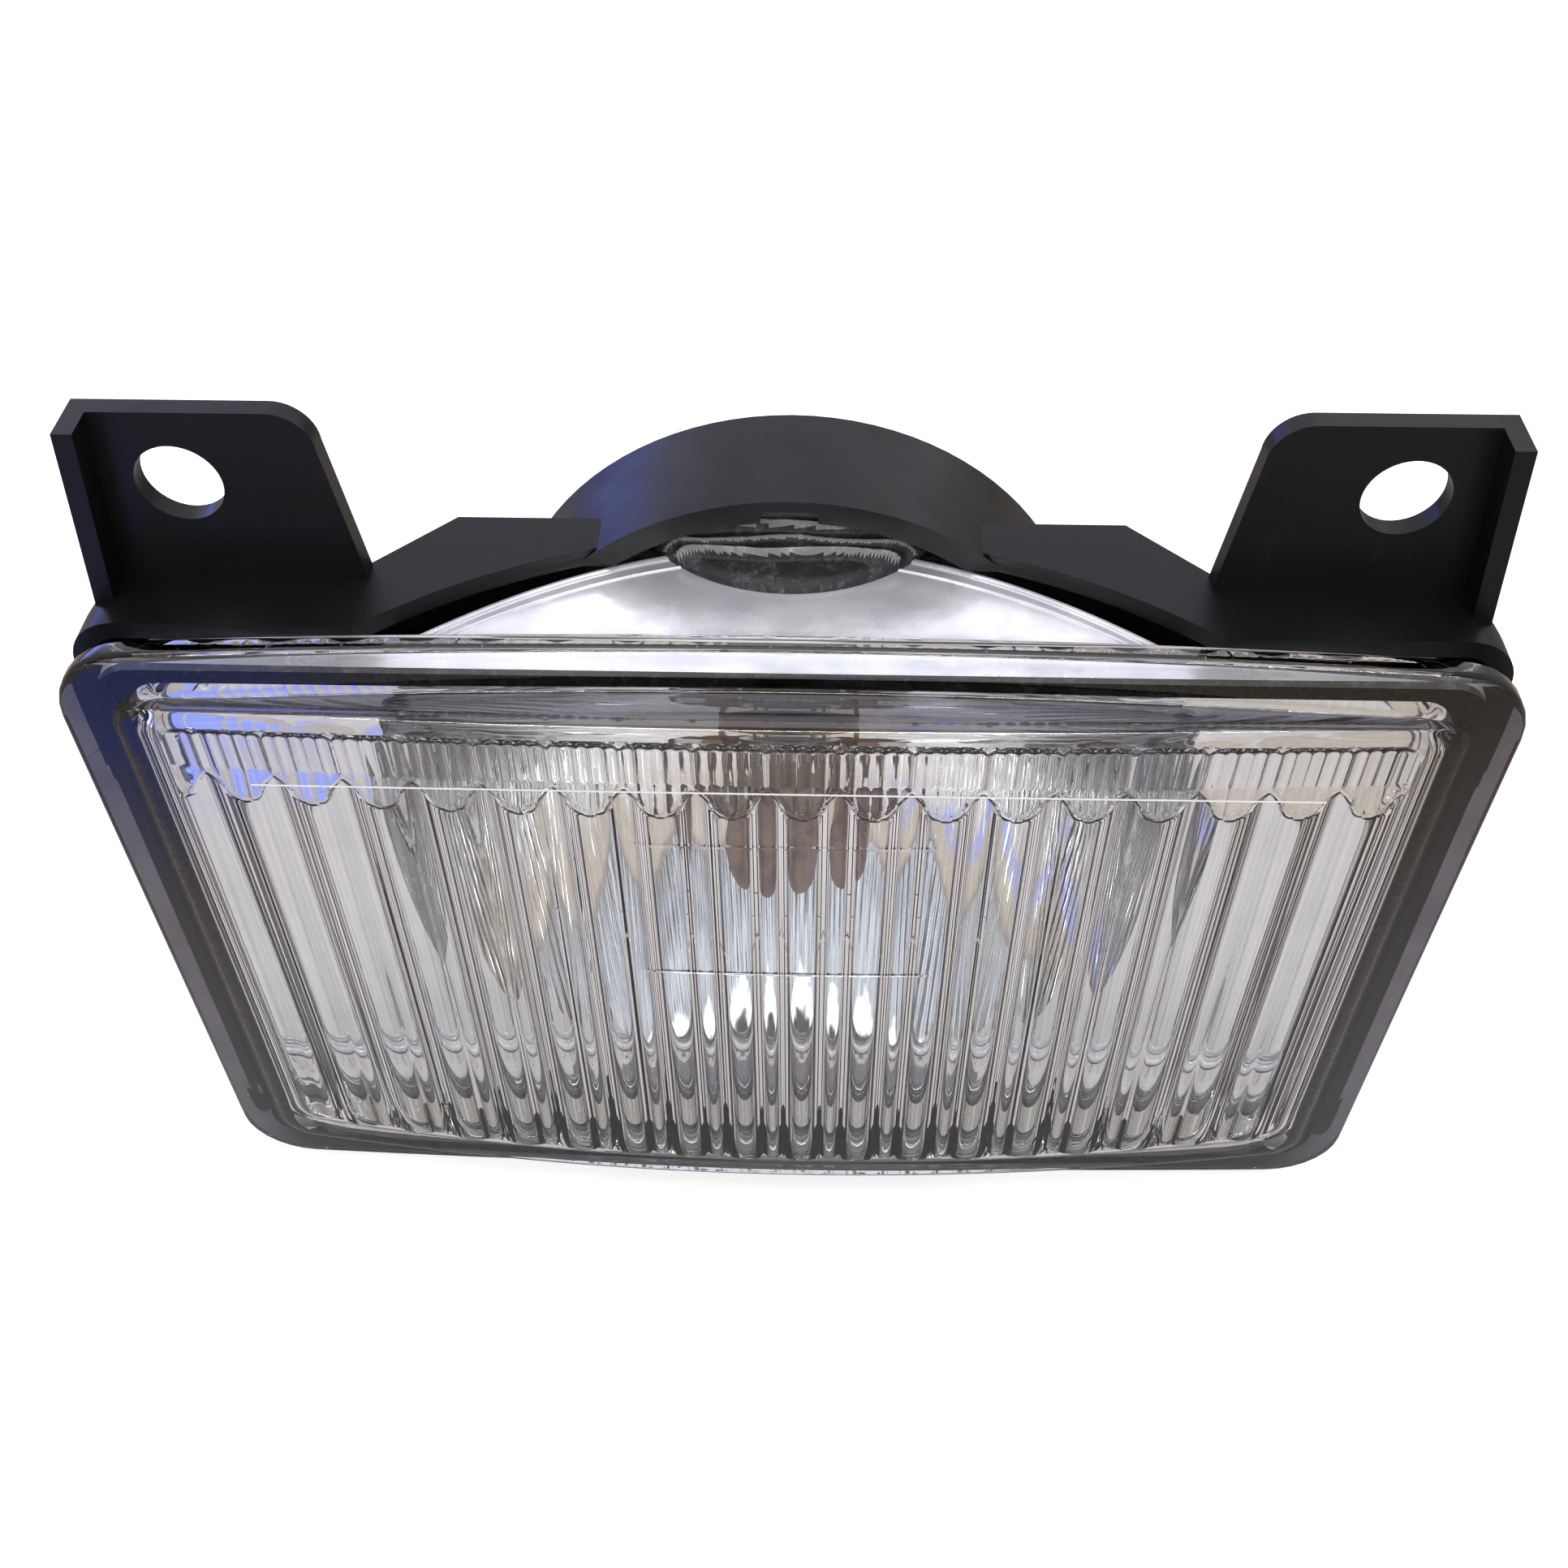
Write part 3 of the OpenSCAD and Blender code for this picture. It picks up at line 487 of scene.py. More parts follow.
def top_edge(inset, corner_r, columns, arc=7):
    """Top edge of the lens outline, inset by `inset`: x and z from left to right."""
    hw = LENS_HALF_W - inset
    hh = LENS_TOP - ARCH - inset
    edge_r = (hw * hw + ARCH * ARCH) / (2 * ARCH)
    mid = hh + ARCH - edge_r
    cx = hw - corner_r
    cz = mid + math.sqrt((edge_r - corner_r) ** 2 - cx * cx)
    lean = math.atan2(cz - mid, cx)
    angles = [lean * k / arc for k in range(arc + 1)]
    corner = [(cx + corner_r * math.cos(a), cz + corner_r * math.sin(a)) for a in angles]
    reach = corner[-1][0]
    xs = [reach - 2 * reach * k / (columns + 1) for k in range(1, columns + 1)]
    middle = [(x, mid + math.sqrt(edge_r * edge_r - x * x)) for x in xs]
    right_to_left = corner + middle + [(-x, z) for x, z in reversed(corner)]
    return right_to_left[::-1]


def ring_indices(columns, rows):
    """Border of a grid with `rows` points in each column, in order round it."""
    bottom = [i * rows for i in range(columns)]
    right = [(columns - 1) * rows + j for j in range(1, rows)]
    top = [i * rows + rows - 1 for i in range(columns - 2, -1, -1)]
    left = [j for j in range(rows - 2, 0, -1)]
    return bottom + right + top + left


class Shell:
    """One side of the lens: rings of points round the outline, closed by a grid over the face."""

    def __init__(self, columns, rows):
        self.columns = columns
        self.rows = rows
        self.points = []
        self.faces = []
        self.loops = []

    def grid(self, inset, corner_r, depth):
        """Points over the outline at (x, z), with depth(x, z)."""
        edge = top_edge(inset, corner_r, self.columns)
        return [(x, depth(x, t * z), t * z) for x, z in edge for t in self.rows]

    def ring(self, inset, corner_r, depth):
        cells = self.grid(inset, corner_r, depth)
        across = len(cells) // len(self.rows)
        start = len(self.points)
        border = ring_indices(across, len(self.rows))
        self.points += [cells[i] for i in border]
        self.loops.append(list(range(start, start + len(border))))
        self.stitch()

    def stitch(self):
        if len(self.loops) < 2:
            return
        a, b = self.loops[-2:]
        n = len(a)
        self.faces += [(a[i], a[(i + 1) % n], b[(i + 1) % n], b[i]) for i in range(n)]

    def close(self, inset, corner_r, depth):
        """Fills the last ring with the face's grid."""
        cells = self.grid(inset, corner_r, depth)
        rows = len(self.rows)
        across = len(cells) // rows
        start = len(self.points)
        self.points += cells
        self.loops.append([start + i for i in ring_indices(across, rows)])
        self.stitch()
        for i in range(across - 1):
            for j in range(rows - 1):
                a = start + i * rows + j
                self.faces.append((a, a + rows, a + rows + 1, a + 1))


def fillet(steps=4):
    """Pairs (share along, share across) of a quarter round."""
    return [(1 - math.cos(a), math.sin(a)) for a in (math.pi / 2 * k / steps for k in range(steps + 1))]


def outer_shell():
    """Flange, shoulder and bowed face, with the edges rounded as glass flows in the mould."""
    top = LENS_TOP - BODY_IN - 2.3
    rows = set(np.linspace(-1, 1, 25))
    for mark in MARKS:
        rows |= {(mark + d) / top for d in (-0.45, -0.3, -0.15, 0, 0.15, 0.3, 0.45)}
    shell = Shell(200, sorted(rows))
    edge = 0.9
    for along, across in fillet():
        shell.ring(edge * 0.6 * (1 - across), CORNER_R, lambda x, z, a=along: -0.6 * edge * a)
    for along, across in fillet():
        y = -FLANGE_T + edge * (1 - across)
        shell.ring(edge * along, CORNER_R - edge * along, lambda x, z, y=y: y)
    # flange front, then a hollow corner, the shoulder and a full round into the face
    quarter = [math.pi / 2 * k / 6 for k in range(7)]
    profile = [(BODY_IN - 1 + math.sin(a), 0.2 * (1 - math.cos(a))) for a in quarter]
    profile += [(BODY_IN + 0.3 + 1.7 * (1 - math.cos(a)), 0.66 + 0.34 * math.sin(a)) for a in quarter]
    for inset, share in profile:
        shell.ring(
            inset,
            max(4.0, CORNER_R - inset),
            lambda x, z, s=share: -FLANGE_T + s * (face_y(x) + FLANGE_T),
        )

    def face(x, z):
        y = face_y(x)
        for mark in MARKS:
            reach = smooth(MARK_REACH + 0.5, MARK_REACH - 0.5, abs(x))
            y -= MARK_DEEP * reach * smooth(0.32, 0.05, abs(z - mark))
        return y

    shell.close(BODY_IN + 2.3, 4.0, face)
    return shell


def glass_depth(x, z):
    """Thickness of the glass at a point: flutes, and a ribbed band above them."""
    level = z + ARCH * (x / LENS_HALF_W) ** 2
    s = ((x - FLUTE_AT) / FLUTE) % 1.0
    across = min(s, 1 - s) * 2
    # a round ridge for the outer third of each flute, and a round trough between the ridges
    depth = RIDGE_T - TROUGH_T
    if across < RIDGE_SHARE:
        flute = RIDGE_T - depth * RIDGE_SHARE * (across / RIDGE_SHARE) ** 2
    else:
        flute = TROUGH_T + depth * (1 - RIDGE_SHARE) * ((1 - across) / (1 - RIDGE_SHARE)) ** 2
    foot = smooth(FLUTE_FOOT - 0.9, FLUTE_FOOT + 0.5, level)
    flute = FOOT_T + (flute - FOOT_T) * foot
    # the ribbed band slopes down into the troughs, which gives it a scalloped lower edge
    slope = (level - LOBE_END) / (RIB_END - LOBE_END)
    band = TROUGH_T + (RIDGE_T - TROUGH_T) * min(1.0, slope) - BAND_DROP * max(0.0, -slope)
    r = ((x - FLUTE_AT) / RIB) % 1.0
    rib = math.sqrt(max(0.0, 1 - (2 * r - 1) ** 2))
    ribs = RIB_DEEP * rib * smooth(RIB_TOP + 0.2, RIB_TOP - 1.0, level + 0.8 * (1 - rib))
    band += (PLAIN_T - band) * smooth(RIB_TOP - 1.5, RIB_TOP + 0.5, level) + ribs
    if level > RIB_TOP:
        return band
    # a fine groove follows the scallops, where the two cuts of the mould meet
    groove = GROOVE_DEEP * math.exp(-(((flute - band) / GROOVE_W) ** 2)) * smooth(28, 30, level)
    return max(flute, band) - groove


def inner_shell():
    """Cavity of the lens, with the flutes and the ribbed band."""
    inset = BODY_IN + 2.2
    top = LENS_TOP - inset - INNER_ROUND
    fine = np.linspace(30.5, top, 44) / top
    plain = np.linspace(-42, 30.5, 34)[1:-1] / top
    foot = np.linspace(-top, -42, 12) / top
    rows = list(foot) + list(plain) + list(fine)
    columns = int(round(2 * (LENS_HALF_W - inset) / (RIB / 7)))
    shell = Shell(columns, rows)
    shell.ring(inset - 0.4, 4.6, lambda x, z: 0.0)
    shell.ring(inset, 4.2, lambda x, z: -0.4)
    for along, across in fillet(5):
        shell.ring(
            inset + INNER_ROUND * along,
            4.2 - 0.5 * INNER_ROUND * along,
            lambda x, z, a=across: face_y(x) + PLAIN_T + min(INNER_ROUND, 0.3 - face_y(x)) * (1 - a),
        )
    shell.close(inset + INNER_ROUND, 3.2, lambda x, z: face_y(x) + glass_depth(x, z))
    return shell


def painted_dark_glass_index(face):
    """Which glass a face of the lens takes: clear glass, or glass tinted dark as painted shade for the black
    bracket seen through it.

    0 is clear, 1 the shoulder's top and bottom, 2 its sides and the flange except along the top.
    """
    middle = (face.center - origin) / MM
    if middle.y > -FLANGE_T / 2:
        return 0
    side = abs(middle.x) > LENS_HALF_W - BODY_IN
    bottom = middle.z < -(LENS_TOP - ARCH - BODY_IN)
    if middle.y > -FLANGE_T - 0.1:
        return 2 if face.normal.y < -0.5 and (side or bottom) else 0
    level = middle.z + ARCH * (middle.x / LENS_HALF_W) ** 2
    near_side = abs(middle.x) > LENS_HALF_W - BODY_IN - ROUND_W
    near_edge = near_side or abs(level) > LENS_TOP - BODY_IN - TOP_SHADE_W
    if abs(face.normal.y) > FACE_ON or not near_edge:
        return 0
    return 2 if near_side else 1


def build_lens():
    outer, inner = outer_shell(), inner_shell()
    shift = len(outer.points)
    points = outer.points + inner.points
    faces = outer.faces + [tuple(shift + i for i in reversed(f)) for f in inner.faces]
    mesh = bpy.data.meshes.new("lens_glass")
    mesh.from_pydata([at(*p) for p in points], [], faces)
    shape = bmesh.new()
    shape.from_mesh(mesh)
    shape.verts.ensure_lookup_table()
    # join the two shells across the back of the flange
    ends = [outer.loops[0], [shift + i for i in inner.loops[0]]]
    edges = []
    for loop in ends:
        for i, a in enumerate(loop):
            b = loop[(i + 1) % len(loop)]
            edges.append(shape.edges.get((shape.verts[a], shape.verts[b])))
    bmesh.ops.bridge_loops(shape, edges=edges)
    bmesh.ops.recalc_face_normals(shape, faces=shape.faces)
    shape.to_mesh(mesh)
    shape.free()
    mesh.shade_smooth()
    mesh.set_sharp_from_angle(angle=math.radians(50))
    lens = bpy.data.objects.new("lens_glass", mesh)
    bpy.context.scene.collection.objects.link(lens)
    place(lens, "optical_unit", LENS_GLASS, "clear_glass", "lens")
    # painted shade: dark glass stands in for the black bracket, as seen through the flange and the shoulder
    mesh.materials.append(SHOULDER_PAINTED_DARK_GLASS)
    mesh.materials.append(RIM_PAINTED_DARK_GLASS)
    for face in mesh.polygons:
        face.material_index = painted_dark_glass_index(face)


def build_highlight_line():
    """A fine pale rod across the ribbed band, straight as seen from the front and above: a painted highlight
    line on the glass.
    """
    xs = np.linspace(-LINE_REACH, LINE_REACH, 81)
    path = [(x, face_y(x) + 0.04, LINE_Z - LINE_DROP * (x / LENS_HALF_W) ** 2) for x in xs]
    place(tube("lens_highlight_line", path, 0.13, sides=8), "optical_unit", PALE_HIGHLIGHT_GLASS, "clear_glass")


build_lens()
build_highlight_line()

# ---- reflector ----

BOWL_END = 28.8
BOWL_FOCUS = 25.0
STEP_REACH = 70.0
STEP_DROP = 1.9
SEAT_R = 15.8
SEAT_Y = 24.0
tub_top = box_mm("reflector")[1].z - 0.4


def build_reflector():
    """The metallised shell, a mirror inside and satin outside."""
    shell = refined("reflector", "reflector_shell", 0.25)
    shell.data.materials.clear()
    place(shell, "optical_unit", MIRROR, "metallised", "reflector")
    shell.data.materials.append(SILVER)
    shell.data.materials.append(SOOT)
    for face in shell.data.polygons:
        middle = (face.center - origin) / MM
        away = face.normal.x * middle.x + face.normal.z * middle.z
        if face.normal.y > 0.05 or (abs(face.normal.y) <= 0.05 and away > 0):
            face.material_index = 1
        elif math.hypot(middle.x, middle.z - axis_z) < SEAT_R and middle.y > SEAT_Y:
            face.material_index = 2


def build_bead(name, inward, radius):
    """A moulded line along the arc where the bowl leaves the shell's top wall."""
    drop = (tub_top - axis_z) ** 2 / (4 * BOWL_FOCUS)
    reach = 2 * math.sqrt(BOWL_FOCUS * (BOWL_END - drop - inward - 5))
    xs = np.linspace(-reach, reach, 61)
    path = [(x, BOWL_END - drop - inward - x * x / (4 * BOWL_FOCUS), tub_top) for x in xs]
    place(tube(name, path, radius, sides=10), "optical_unit", SILVER, "metallised")


def build_step(name, z, depth, radius, material):
    """A bar that stands in for a moulded step at the bowl's mouth: each flute bends it into a U."""
    xs = np.linspace(-STEP_REACH, STEP_REACH, 71)
    path = [(x, depth, z - STEP_DROP * (x / STEP_REACH) ** 2) for x in xs]
    place(tube(name, path, radius, sides=14), "optical_unit", material, "metallised")


build_reflector()
build_bead("shell_edge_bead", 0.35, 0.4)
build_bead("shell_step_bead", 2.3, 0.22)
build_step("reflector_step", -26.0, 2.5, 0.8, SILVER)
# painted shadow: a dark bar just under the step stands in for the shadow line beneath it
build_step("reflector_step_shadow", -27.5, 2.9, 0.5, SHIELD)

# ---- boot ----

boot_low, boot_high = box_mm("boot")
BOOT_R = boot_high.x
BOOT_NECK_R = 19.0
COLLAR_FRONT = 16.5
LOBE_R = 20.0
LOBE_AT = 33.3
LOBE_REAR = 23.5
FOLDS = [(17.9, 1.0, 13.5), (19.3, 0.35, 14.5), (20.6, 0.9, 13.0), (22.0, 0.5, 4.0)]


def fold_sway(x, k):
    """How far fold k wanders from its straight line: a sag in the middle and small waves."""
    sag = 0.55 * math.exp(-((x / 7.5) ** 2)) * (1 if k == 0 else 0.35)
    return 0.22 * math.sin(0.42 * x + 1.7 * k) + 0.14 * noise.noise(Vector((x * 0.3, k * 7.1, 0.4))) - sag


def boot_height(x, y):
    """Height of the boot's front lobe above the shell: a rounded lip, then folds that climb to the rear."""
    lip = LOBE_R - math.hypot(x, y - LOBE_AT)
    edge = min(1.0, max(0.0, lip / 1.3))
    z = 1.25 * math.sqrt(1 - (1 - edge) ** 2) + 0.12 * max(0.0, lip)
    for k, (at_y, high, reach) in enumerate(FOLDS):
        step = y - (at_y + fold_sway(x, k))
        ends = smooth(reach + 2.5, reach - 1.5, abs(x))
        z += high * (smooth(-0.3, 0.25, step) + 0.55 * math.exp(-((step - 0.2) / 0.32) ** 2)) * ends
    z += 0.08 * noise.noise(Vector((x * 0.5, y * 0.5, 3.0)))
    crown = axis_z + math.sqrt(max(1.0, (BOOT_R - 0.5) ** 2 - x * x)) - tub_top
    return max(0.12, min(z, crown))


def fold_crest(x, y):
    """How near a point of the lobe is to the crest of a fold, from 0 to 1."""
    best = 0.0
    for k, (at_y, _, reach) in enumerate(FOLDS):
        step = y - (at_y + fold_sway(x, k))
        best = max(best, math.exp(-(((step - 0.12) / 0.2) ** 2)) * smooth(reach + 2, reach - 1, abs(x)))
    return best


def build_boot_lobe():
    """The part of the boot that lies on the shell under the collar's arch."""
    half_w = math.sqrt(LOBE_R**2 - (LOBE_AT - LOBE_REAR) ** 2) - 0.2
    across, along = 110, 80
    points = []
    for i in range(across + 1):
        x = half_w * math.sin((i / across - 0.5) * math.pi)
        front = LOBE_AT - math.sqrt(LOBE_R**2 - x * x) + 0.02
        for j in range(along + 1):
            y = front + (LOBE_REAR - front) * (j / along) ** 1.15
            points.append((x, y, tub_top + 0.06 + boot_height(x, y)))
    top = len(points)
    points += [(x, y, tub_top + 0.05) for x, y, _ in points]
    n = along + 1
    faces = []
    for i in range(across):
        for j in range(along):
            a = i * n + j
            faces.append((a, a + n, a + n + 1, a + 1))
            faces.append((top + a, top + a + 1, top + a + n + 1, top + a + n))
    border = ring_indices(across + 1, n)
    for k, a in enumerate(border):
        b = border[(k + 1) % len(border)]
        faces.append((a, top + a, top + b, b))
    lobe = new_object("boot_lobe", points, faces, smooth=60)
    lobe.data.materials.append(RUBBER)
    lobe.data.materials.append(DUSTY_CREST_HIGHLIGHT_RUBBER)
    # painted highlight, partly dust: the fold crests that face up take the pale rubber
    for face in lobe.data.polygons:
        middle = (face.center - origin) / MM
        if face.normal.z > 0.05 and fold_crest(middle.x, middle.y) > 0.5:
            face.material_index = 1
    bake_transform(lobe, "bracket", "optical_unit", start=at(0, LOBE_REAR, 0), end=at(0, COLLAR_FRONT - 1, 0))


def build_boot_folds():
    """The bellows from the collar's bore to the bulb neck: three soft folds, a little uneven."""
    folds = 3
    thick = 1.1
    inner_r, outer_r = BOOT_NECK_R, -boot_low.x - 0.05
    front_y, rear_y = boot_low.y + 0.3, boot_high.y - thick
    steps = 36
    front = []
    for k in range(steps + 1):
        t = k / steps
        r = outer_r + (inner_r - outer_r) * (t - 0.055 * math.sin(TURN * folds * t))
        front.append((r, front_y + (rear_y - front_y) * (t + 0.03 * math.sin(TURN * folds * t + 2.2))))
    profile = front + [(r, y + thick) for r, y in reversed(front)]

    def uneven(r, y, a):
        loose = smooth(outer_r, outer_r - 4, r) * smooth(inner_r, inner_r + 4, r)
        return 0.0, 0.18 * loose * math.sin(5 * a + 0.4 * r)

    bellows = turned("boot_folds", profile, steps=144, wave=uneven)
    bellows.data.materials.append(RUBBER)
    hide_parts("boot")
    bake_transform(bellows, "bracket", "optical_unit", start=at(0, front_y + 1, 0), end=at(0, rear_y + thick, 0))


build_boot_lobe()
build_boot_folds()

# ---- bracket ----

place(refined("bracket_frame", "bracket_moulding", 0.35), "bracket", BLACK, "black_nylon", "bracket_frame")

# ---- cap, socket and the other mouldings at the rear ----

for node, body, material, slot, edge in [
    ("rear_cap", "cap", CAP_BLACK, "cap_nylon", 0.45),
    ("vent_plug", "cap", VENT, "vent_plastic", 0.3),
    ("connector_socket", "bracket", BLACK, "black_nylon", 0.25),
    ("aim_bush", "bracket", NATURAL, "natural_nylon", 0.2),
]:
    place(refined(node, node + "_moulding", edge), body, material, slot, node)


# ---- what the CAD already shows well ----

FINISH = {
    "black_nylon": BLACK,
    "cap_nylon": CAP_BLACK,
    "natural_nylon": NATURAL,
    "vent_plastic": VENT,
    "black_rubber": RUBBER,
    "grey_silicone": GREY_SILICONE,
    "red_silicone": RED_SILICONE,
    "red_insulation": INSULATION,
    "metallised": MIRROR,
    "zinc_steel": ZINC,
    "shield_steel": SHIELD,
    "base_steel": BASE,
    "spring_steel": SPRING,
    "tinned_brass": BRASS,
    "tungsten": TUNGSTEN,
    "clear_glass": LENS_GLASS,
    "quartz": QUARTZ,
}

for part in frame["record"]["subparts"]:
    node = frame["nodes"][part["node"]]
    node.data.materials.clear()
    node.data.materials.append(FINISH[part["material_slot"]])

# ---- wire coil and thread ----

SHANK_R = 2.5
THREAD_PITCH = 1.6
THREAD_R = 0.25
THREAD_SUNK = 0.15
COIL_PITCH = 0.42


def helix(start, along, across, radius, pitch, length):
    """Points of a helix that starts at `start` and runs `length` along one direction."""
    start, along, across = Vector(start), Vector(along), Vector(across)
    other = along.cross(across)
    count = int(24 * length / pitch)
    path = []
    for i in range(count + 1):
        run = length * i / count
        a = TURN * run / pitch
        path.append(start + along * run + (across * math.cos(a) + other * math.sin(a)) * radius)
    return path


def build_filament():
    """The lamp's coil, wound from tungsten wire along the CAD filament."""
    low, high = box_mm("filament")
    size = high - low
    long_way = max(range(3), key=lambda k: size[k])
    along = Vector([1.0 if k == long_way else 0.0 for k in range(3)])
    across = Vector([1.0 if k == (long_way + 1) % 3 else 0.0 for k in range(3)])
    radius = size[(long_way + 1) % 3] / 2 - 0.11
    start = (low + high) / 2 - along * (size[long_way] / 2 - 0.12)
    path = helix(start, along, across, radius, COIL_PITCH, size[long_way] - 0.24)
    place(tube("filament_coil", path, 0.1, sides=8), "optical_unit", TUNGSTEN, "tungsten", "filament")


def build_thread():
    """The rolled thread on the aiming screw's shank."""
    low, high = box_mm("aim_screw")
    nut_end = box_mm("aim_nut")[1].y
    start = ((low.x + high.x) / 2, low.y + 0.5, (low.z + high.z) / 2)
    # the crests stand only 0.1 mm proud, so that the nut can tip on them
    path = helix(start, (0, 1, 0), (1, 0, 0), SHANK_R - THREAD_SUNK, THREAD_PITCH, nut_end + 1.5 - low.y)
    place(tube("aim_screw_thread", path, THREAD_R, sides=6), "adjuster", ZINC, "zinc_steel")


build_filament()
build_thread()

# ---- floor, light and camera ----


def build_floor():
    mesh = bpy.data.meshes.new("floor")
    half = 30.0
    mesh.from_pydata(
        [(x, y, floor_z - 0.0002) for x, y in ((-half, -half), (half, -half), (half, half), (-half, half))],
        [],
        [(0, 1, 2, 3)],
    )
    floor = bpy.data.objects.new("floor", mesh)
    bpy.context.scene.collection.objects.link(floor)
    m = Nodes("floor_paper")

    def distance(point):
        node = m.tree.nodes.new("ShaderNodeVectorMath")
        node.operation = "DISTANCE"
        m.tree.links.new(m.place, node.inputs[0])
        node.inputs[1].default_value = point
        return node.outputs["Value"]

    soft = m.noise(60, detail=3)
    seen = m.tree.nodes.new("ShaderNodeLightPath").outputs["Is Camera Ray"]
    paper = m.ramp(soft, 0.3, 0.7, (0.94, 0.94, 0.94), (0.9, 0.9, 0.9))
    # the lamp mirrors a room, not white paper: pale just ahead of it, tan farther off, blue on the left
    blue_patch = distance((-0.16, -0.13, floor_z))
    ahead = distance((0, 0, floor_z))
    near = m.ramp(ahead, 0.08, 0.2, (0.62, 0.58, 0.58), (0.42, 0.36, 0.3))
    near = m.mix(m.ramp(blue_patch, 0.03, 0.09, 0.8, 0.0), near, (0.2, 0.3, 0.95))
    m.link(m.mix(seen, near, paper), "Base Color")
    m.link(m.maths("MULTIPLY", seen, 0.42), "Emission Strength")
    m.set(Roughness=0.9, Specular_IOR_Level=0.1, Emission_Color=(1, 1, 1, 1))
    mesh.materials.append(m.material)


# glow from below, then patches of light: direction, inner and outer angle in degrees, colour
FLOOR_GLOW = (0.46, 0.42, 0.37)
ROOM_LOBES = [
    ((0, 0, 1), (10, 100), (0.8, 0.8, 0.82)),
    ((0, 1, -0.1), (18, 36), (0.12, 0.11, 0.1)),
    ((0, 0.78, 0.63), (30, 50), (1.4, 1.4, 1.54)),
    ((-0.3, 0.78, 0.58), (2, 7), (0.4, 0.39, 0.48)),
    ((0.12, 0.72, 0.66), (1, 6), (0.42, 0.4, 0.45)),
    ((0.42, 0.76, 0.66), (2, 6), (0.78, 0.5, 0.33)),
    ((-0.64, 0.75, -0.08), (8, 26), (1.2, 1.5, 4.6)),
]
# ahead of the lamp, from low to high: the height where a band begins and is full, and its colour
FRONT_BANDS = [
    (0.39, 0.41, (1.7, 1.72, 1.8)),
    (0.455, 0.475, (0.05, 0.05, 0.05)),
    (0.51, 0.55, (0.52, 0.46, 0.39)),
    (0.62, 0.64, (0.9, 0.86, 0.8)),
    (0.66, 0.7, (0.4, 0.35, 0.3)),
]


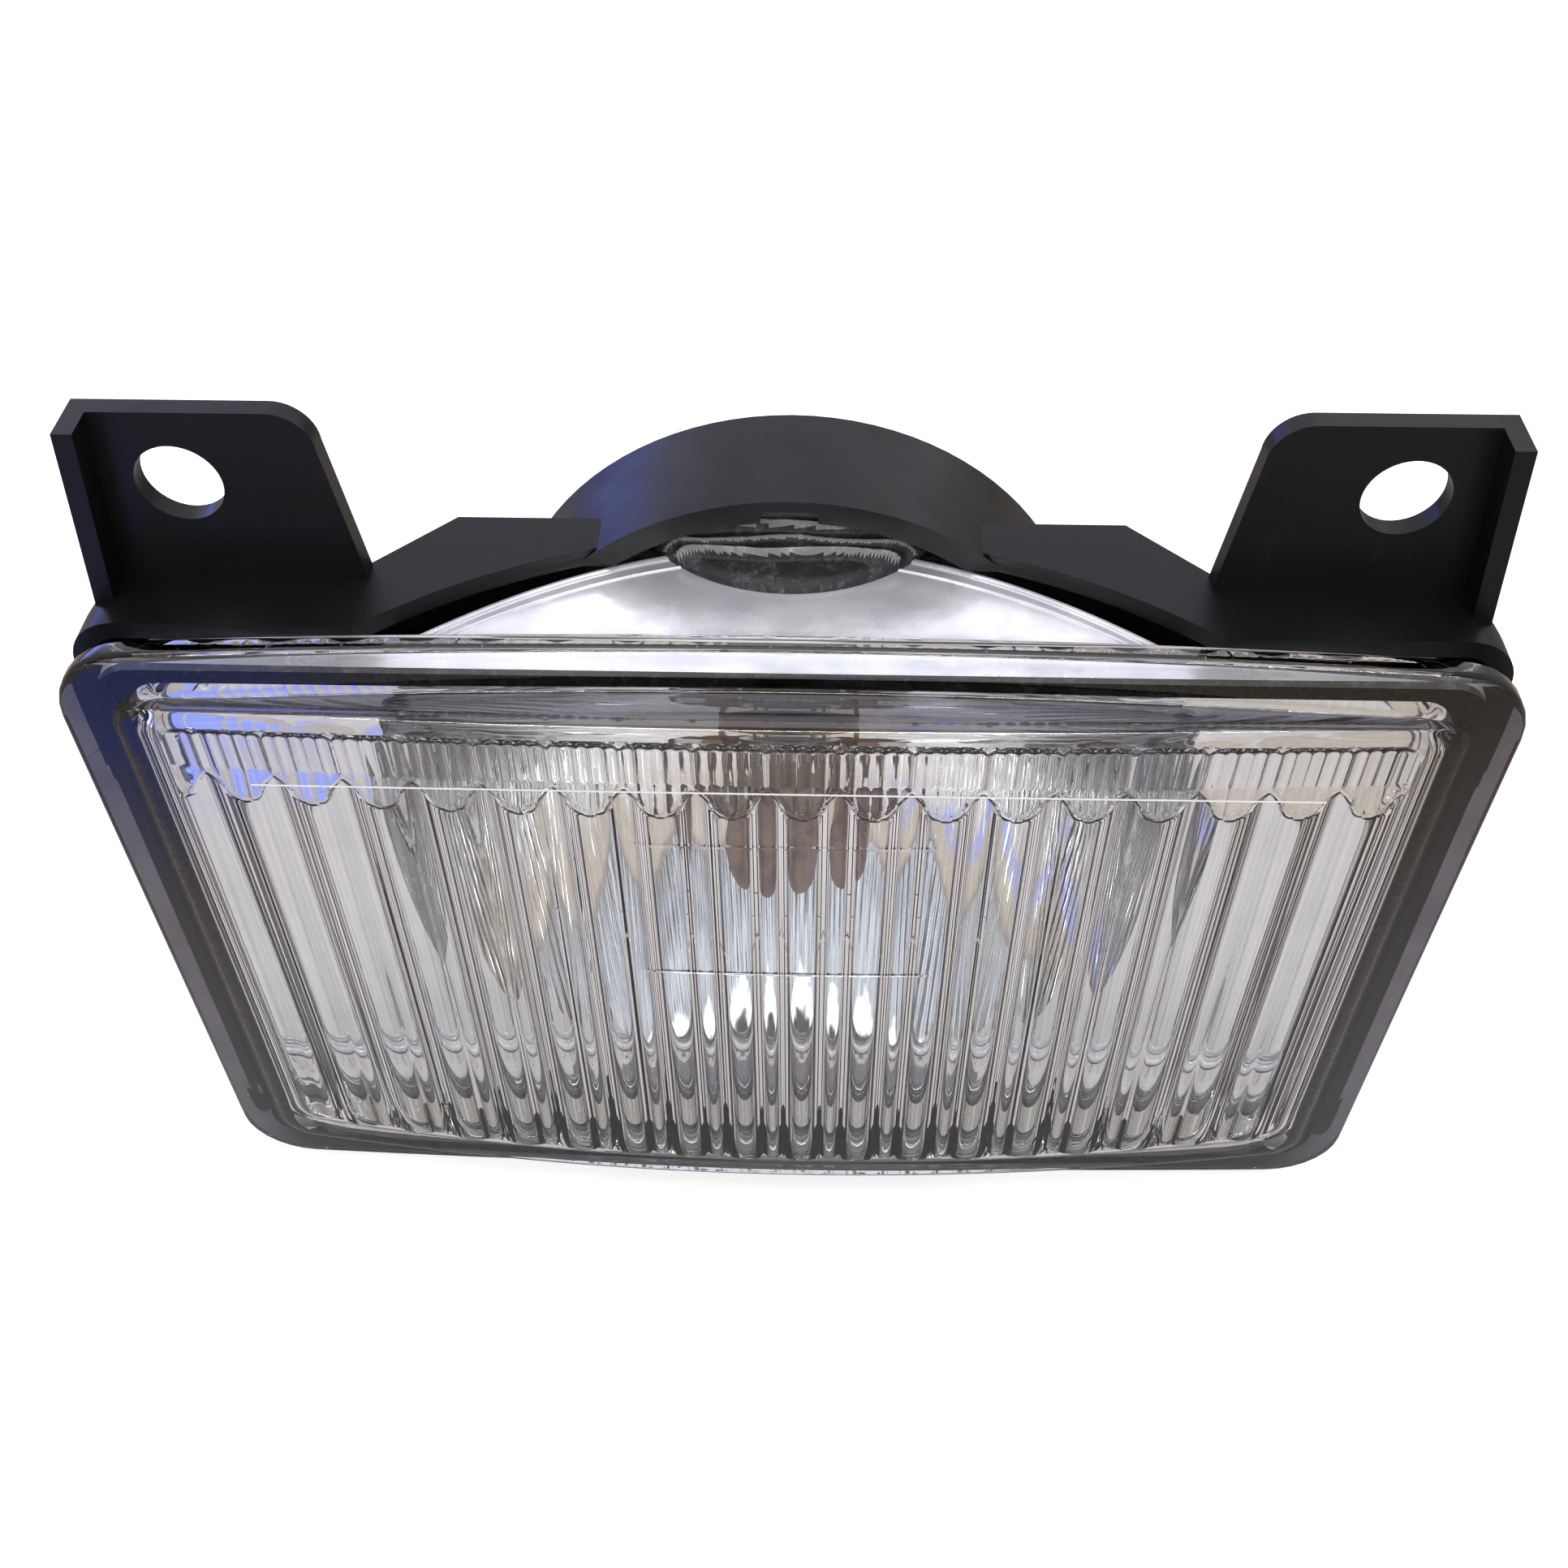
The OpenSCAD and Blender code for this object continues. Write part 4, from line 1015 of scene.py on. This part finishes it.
def build_world():
    """Soft room light: a pale ceiling, a cool window to the left, a dark rear and a warm floor side."""
    world = bpy.data.worlds.new("room")
    bpy.context.scene.world = world
    world.use_nodes = True
    tree = world.node_tree
    background = tree.nodes["Background"]
    direction = tree.nodes.new("ShaderNodeTexCoord").outputs["Generated"]

    def mix(share, a, b):
        node = tree.nodes.new("ShaderNodeMix")
        node.data_type = "RGBA"
        tree.links.new(share, node.inputs[0])
        for socket, colour in ((node.inputs[6], a), (node.inputs[7], b)):
            if isinstance(colour, tuple):
                socket.default_value = (*colour, 1)
            else:
                tree.links.new(colour, socket)
        return node.outputs[2]

    def step(value, low, high):
        node = tree.nodes.new("ShaderNodeMapRange")
        node.interpolation_type = "SMOOTHSTEP"
        node.inputs["From Min"].default_value = low
        node.inputs["From Max"].default_value = high
        tree.links.new(value, node.inputs["Value"])
        return node.outputs["Result"]

    def lobe(towards, wide, previous, colour):
        """Blends a colour in around one direction."""
        dot = tree.nodes.new("ShaderNodeVectorMath")
        dot.operation = "DOT_PRODUCT"
        tree.links.new(direction, dot.inputs[0])
        dot.inputs[1].default_value = Vector(towards).normalized()
        span = tree.nodes.new("ShaderNodeMapRange")
        span.interpolation_type = "SMOOTHSTEP"
        span.inputs["From Min"].default_value = math.cos(math.radians(wide[1]))
        span.inputs["From Max"].default_value = math.cos(math.radians(wide[0]))
        tree.links.new(dot.outputs["Value"], span.inputs["Value"])
        return mix(span.outputs["Result"], previous, colour)

    room = FLOOR_GLOW
    for towards, wide, colour in ROOM_LOBES:
        room = lobe(towards, wide, room, colour)

    # ahead of the lamp: windows and dark furniture up to a shelf, a bright edge, its shadow, a tan wall
    parts = tree.nodes.new("ShaderNodeSeparateXYZ")
    tree.links.new(direction, parts.inputs[0])
    _, back, up = parts.outputs
    flat = tree.nodes.new("ShaderNodeMapping")
    flat.inputs["Scale"].default_value = (1, 1, 0.3)
    tree.links.new(direction, flat.inputs["Vector"])
    blocks = tree.nodes.new("ShaderNodeTexNoise")
    blocks.inputs["Scale"].default_value = 6.5
    blocks.inputs["Detail"].default_value = 2
    tree.links.new(flat.outputs["Vector"], blocks.inputs["Vector"])
    front = mix(step(blocks.outputs["Fac"], 0.48, 0.54), (0.08, 0.08, 0.09), (0.88, 0.9, 0.98))
    for low, high, colour in FRONT_BANDS:
        front = mix(step(up, low, high), front, colour)
    room = mix(step(back, -0.25, -0.5), room, front)
    room = lobe((0.14, -0.8, 0.58), (4, 9), room, (0.04, 0.04, 0.04))
    # straight into the camera the room is plain and pale
    seen = tree.nodes.new("ShaderNodeLightPath").outputs["Is Camera Ray"]
    tree.links.new(mix(seen, room, (0.93, 0.93, 0.93)), background.inputs["Color"])


def add_light(name, where, aim, size, power, colour):
    lamp = bpy.data.lights.new(name, "AREA")
    lamp.shape = "RECTANGLE"
    lamp.size, lamp.size_y = size
    lamp.energy = power
    lamp.color = colour
    obj = bpy.data.objects.new(name, lamp)
    obj.matrix_world = Matrix.Translation(where) @ (
        (Vector(aim) - Vector(where)).to_track_quat("-Z", "Y").to_matrix().to_4x4()
    )
    bpy.context.scene.collection.objects.link(obj)


def build_camera():
    """A phone held above and in front of the lamp, looking down at it."""
    down, yaw, roll = 0.815, -0.032, 0.007
    ahead = Vector((math.sin(yaw) * math.cos(down), math.cos(yaw) * math.cos(down), -math.sin(down)))
    right0 = ahead.cross(UP).normalized()
    low0 = ahead.cross(right0)
    right = math.cos(roll) * right0 + math.sin(roll) * low0
    low = -math.sin(roll) * right0 + math.cos(roll) * low0
    data = bpy.data.cameras.new("camera")
    data.sensor_width = 36
    data.lens = 37.47
    data.clip_start = 0.005
    camera = bpy.data.objects.new("camera", data)
    camera.matrix_world = Matrix.Translation(at(3.887, -129.42, 166.59)) @ Matrix(
        (right, -low, -ahead)
    ).transposed().to_4x4()
    bpy.context.scene.collection.objects.link(camera)
    bpy.context.scene.camera = camera


build_floor()
build_world()
add_light("overhead", (0.0, -0.1, 0.9), (0, 0, -0.05), (0.7, 0.7), 2.5, (1, 0.99, 0.97))
add_light("tube", (0.0, -0.95, 0.75), (0, 0, -0.05), (1.3, 0.05), 8.0, (1, 1, 1))
build_camera()
bpy.context.scene.view_settings.view_transform = "Standard"
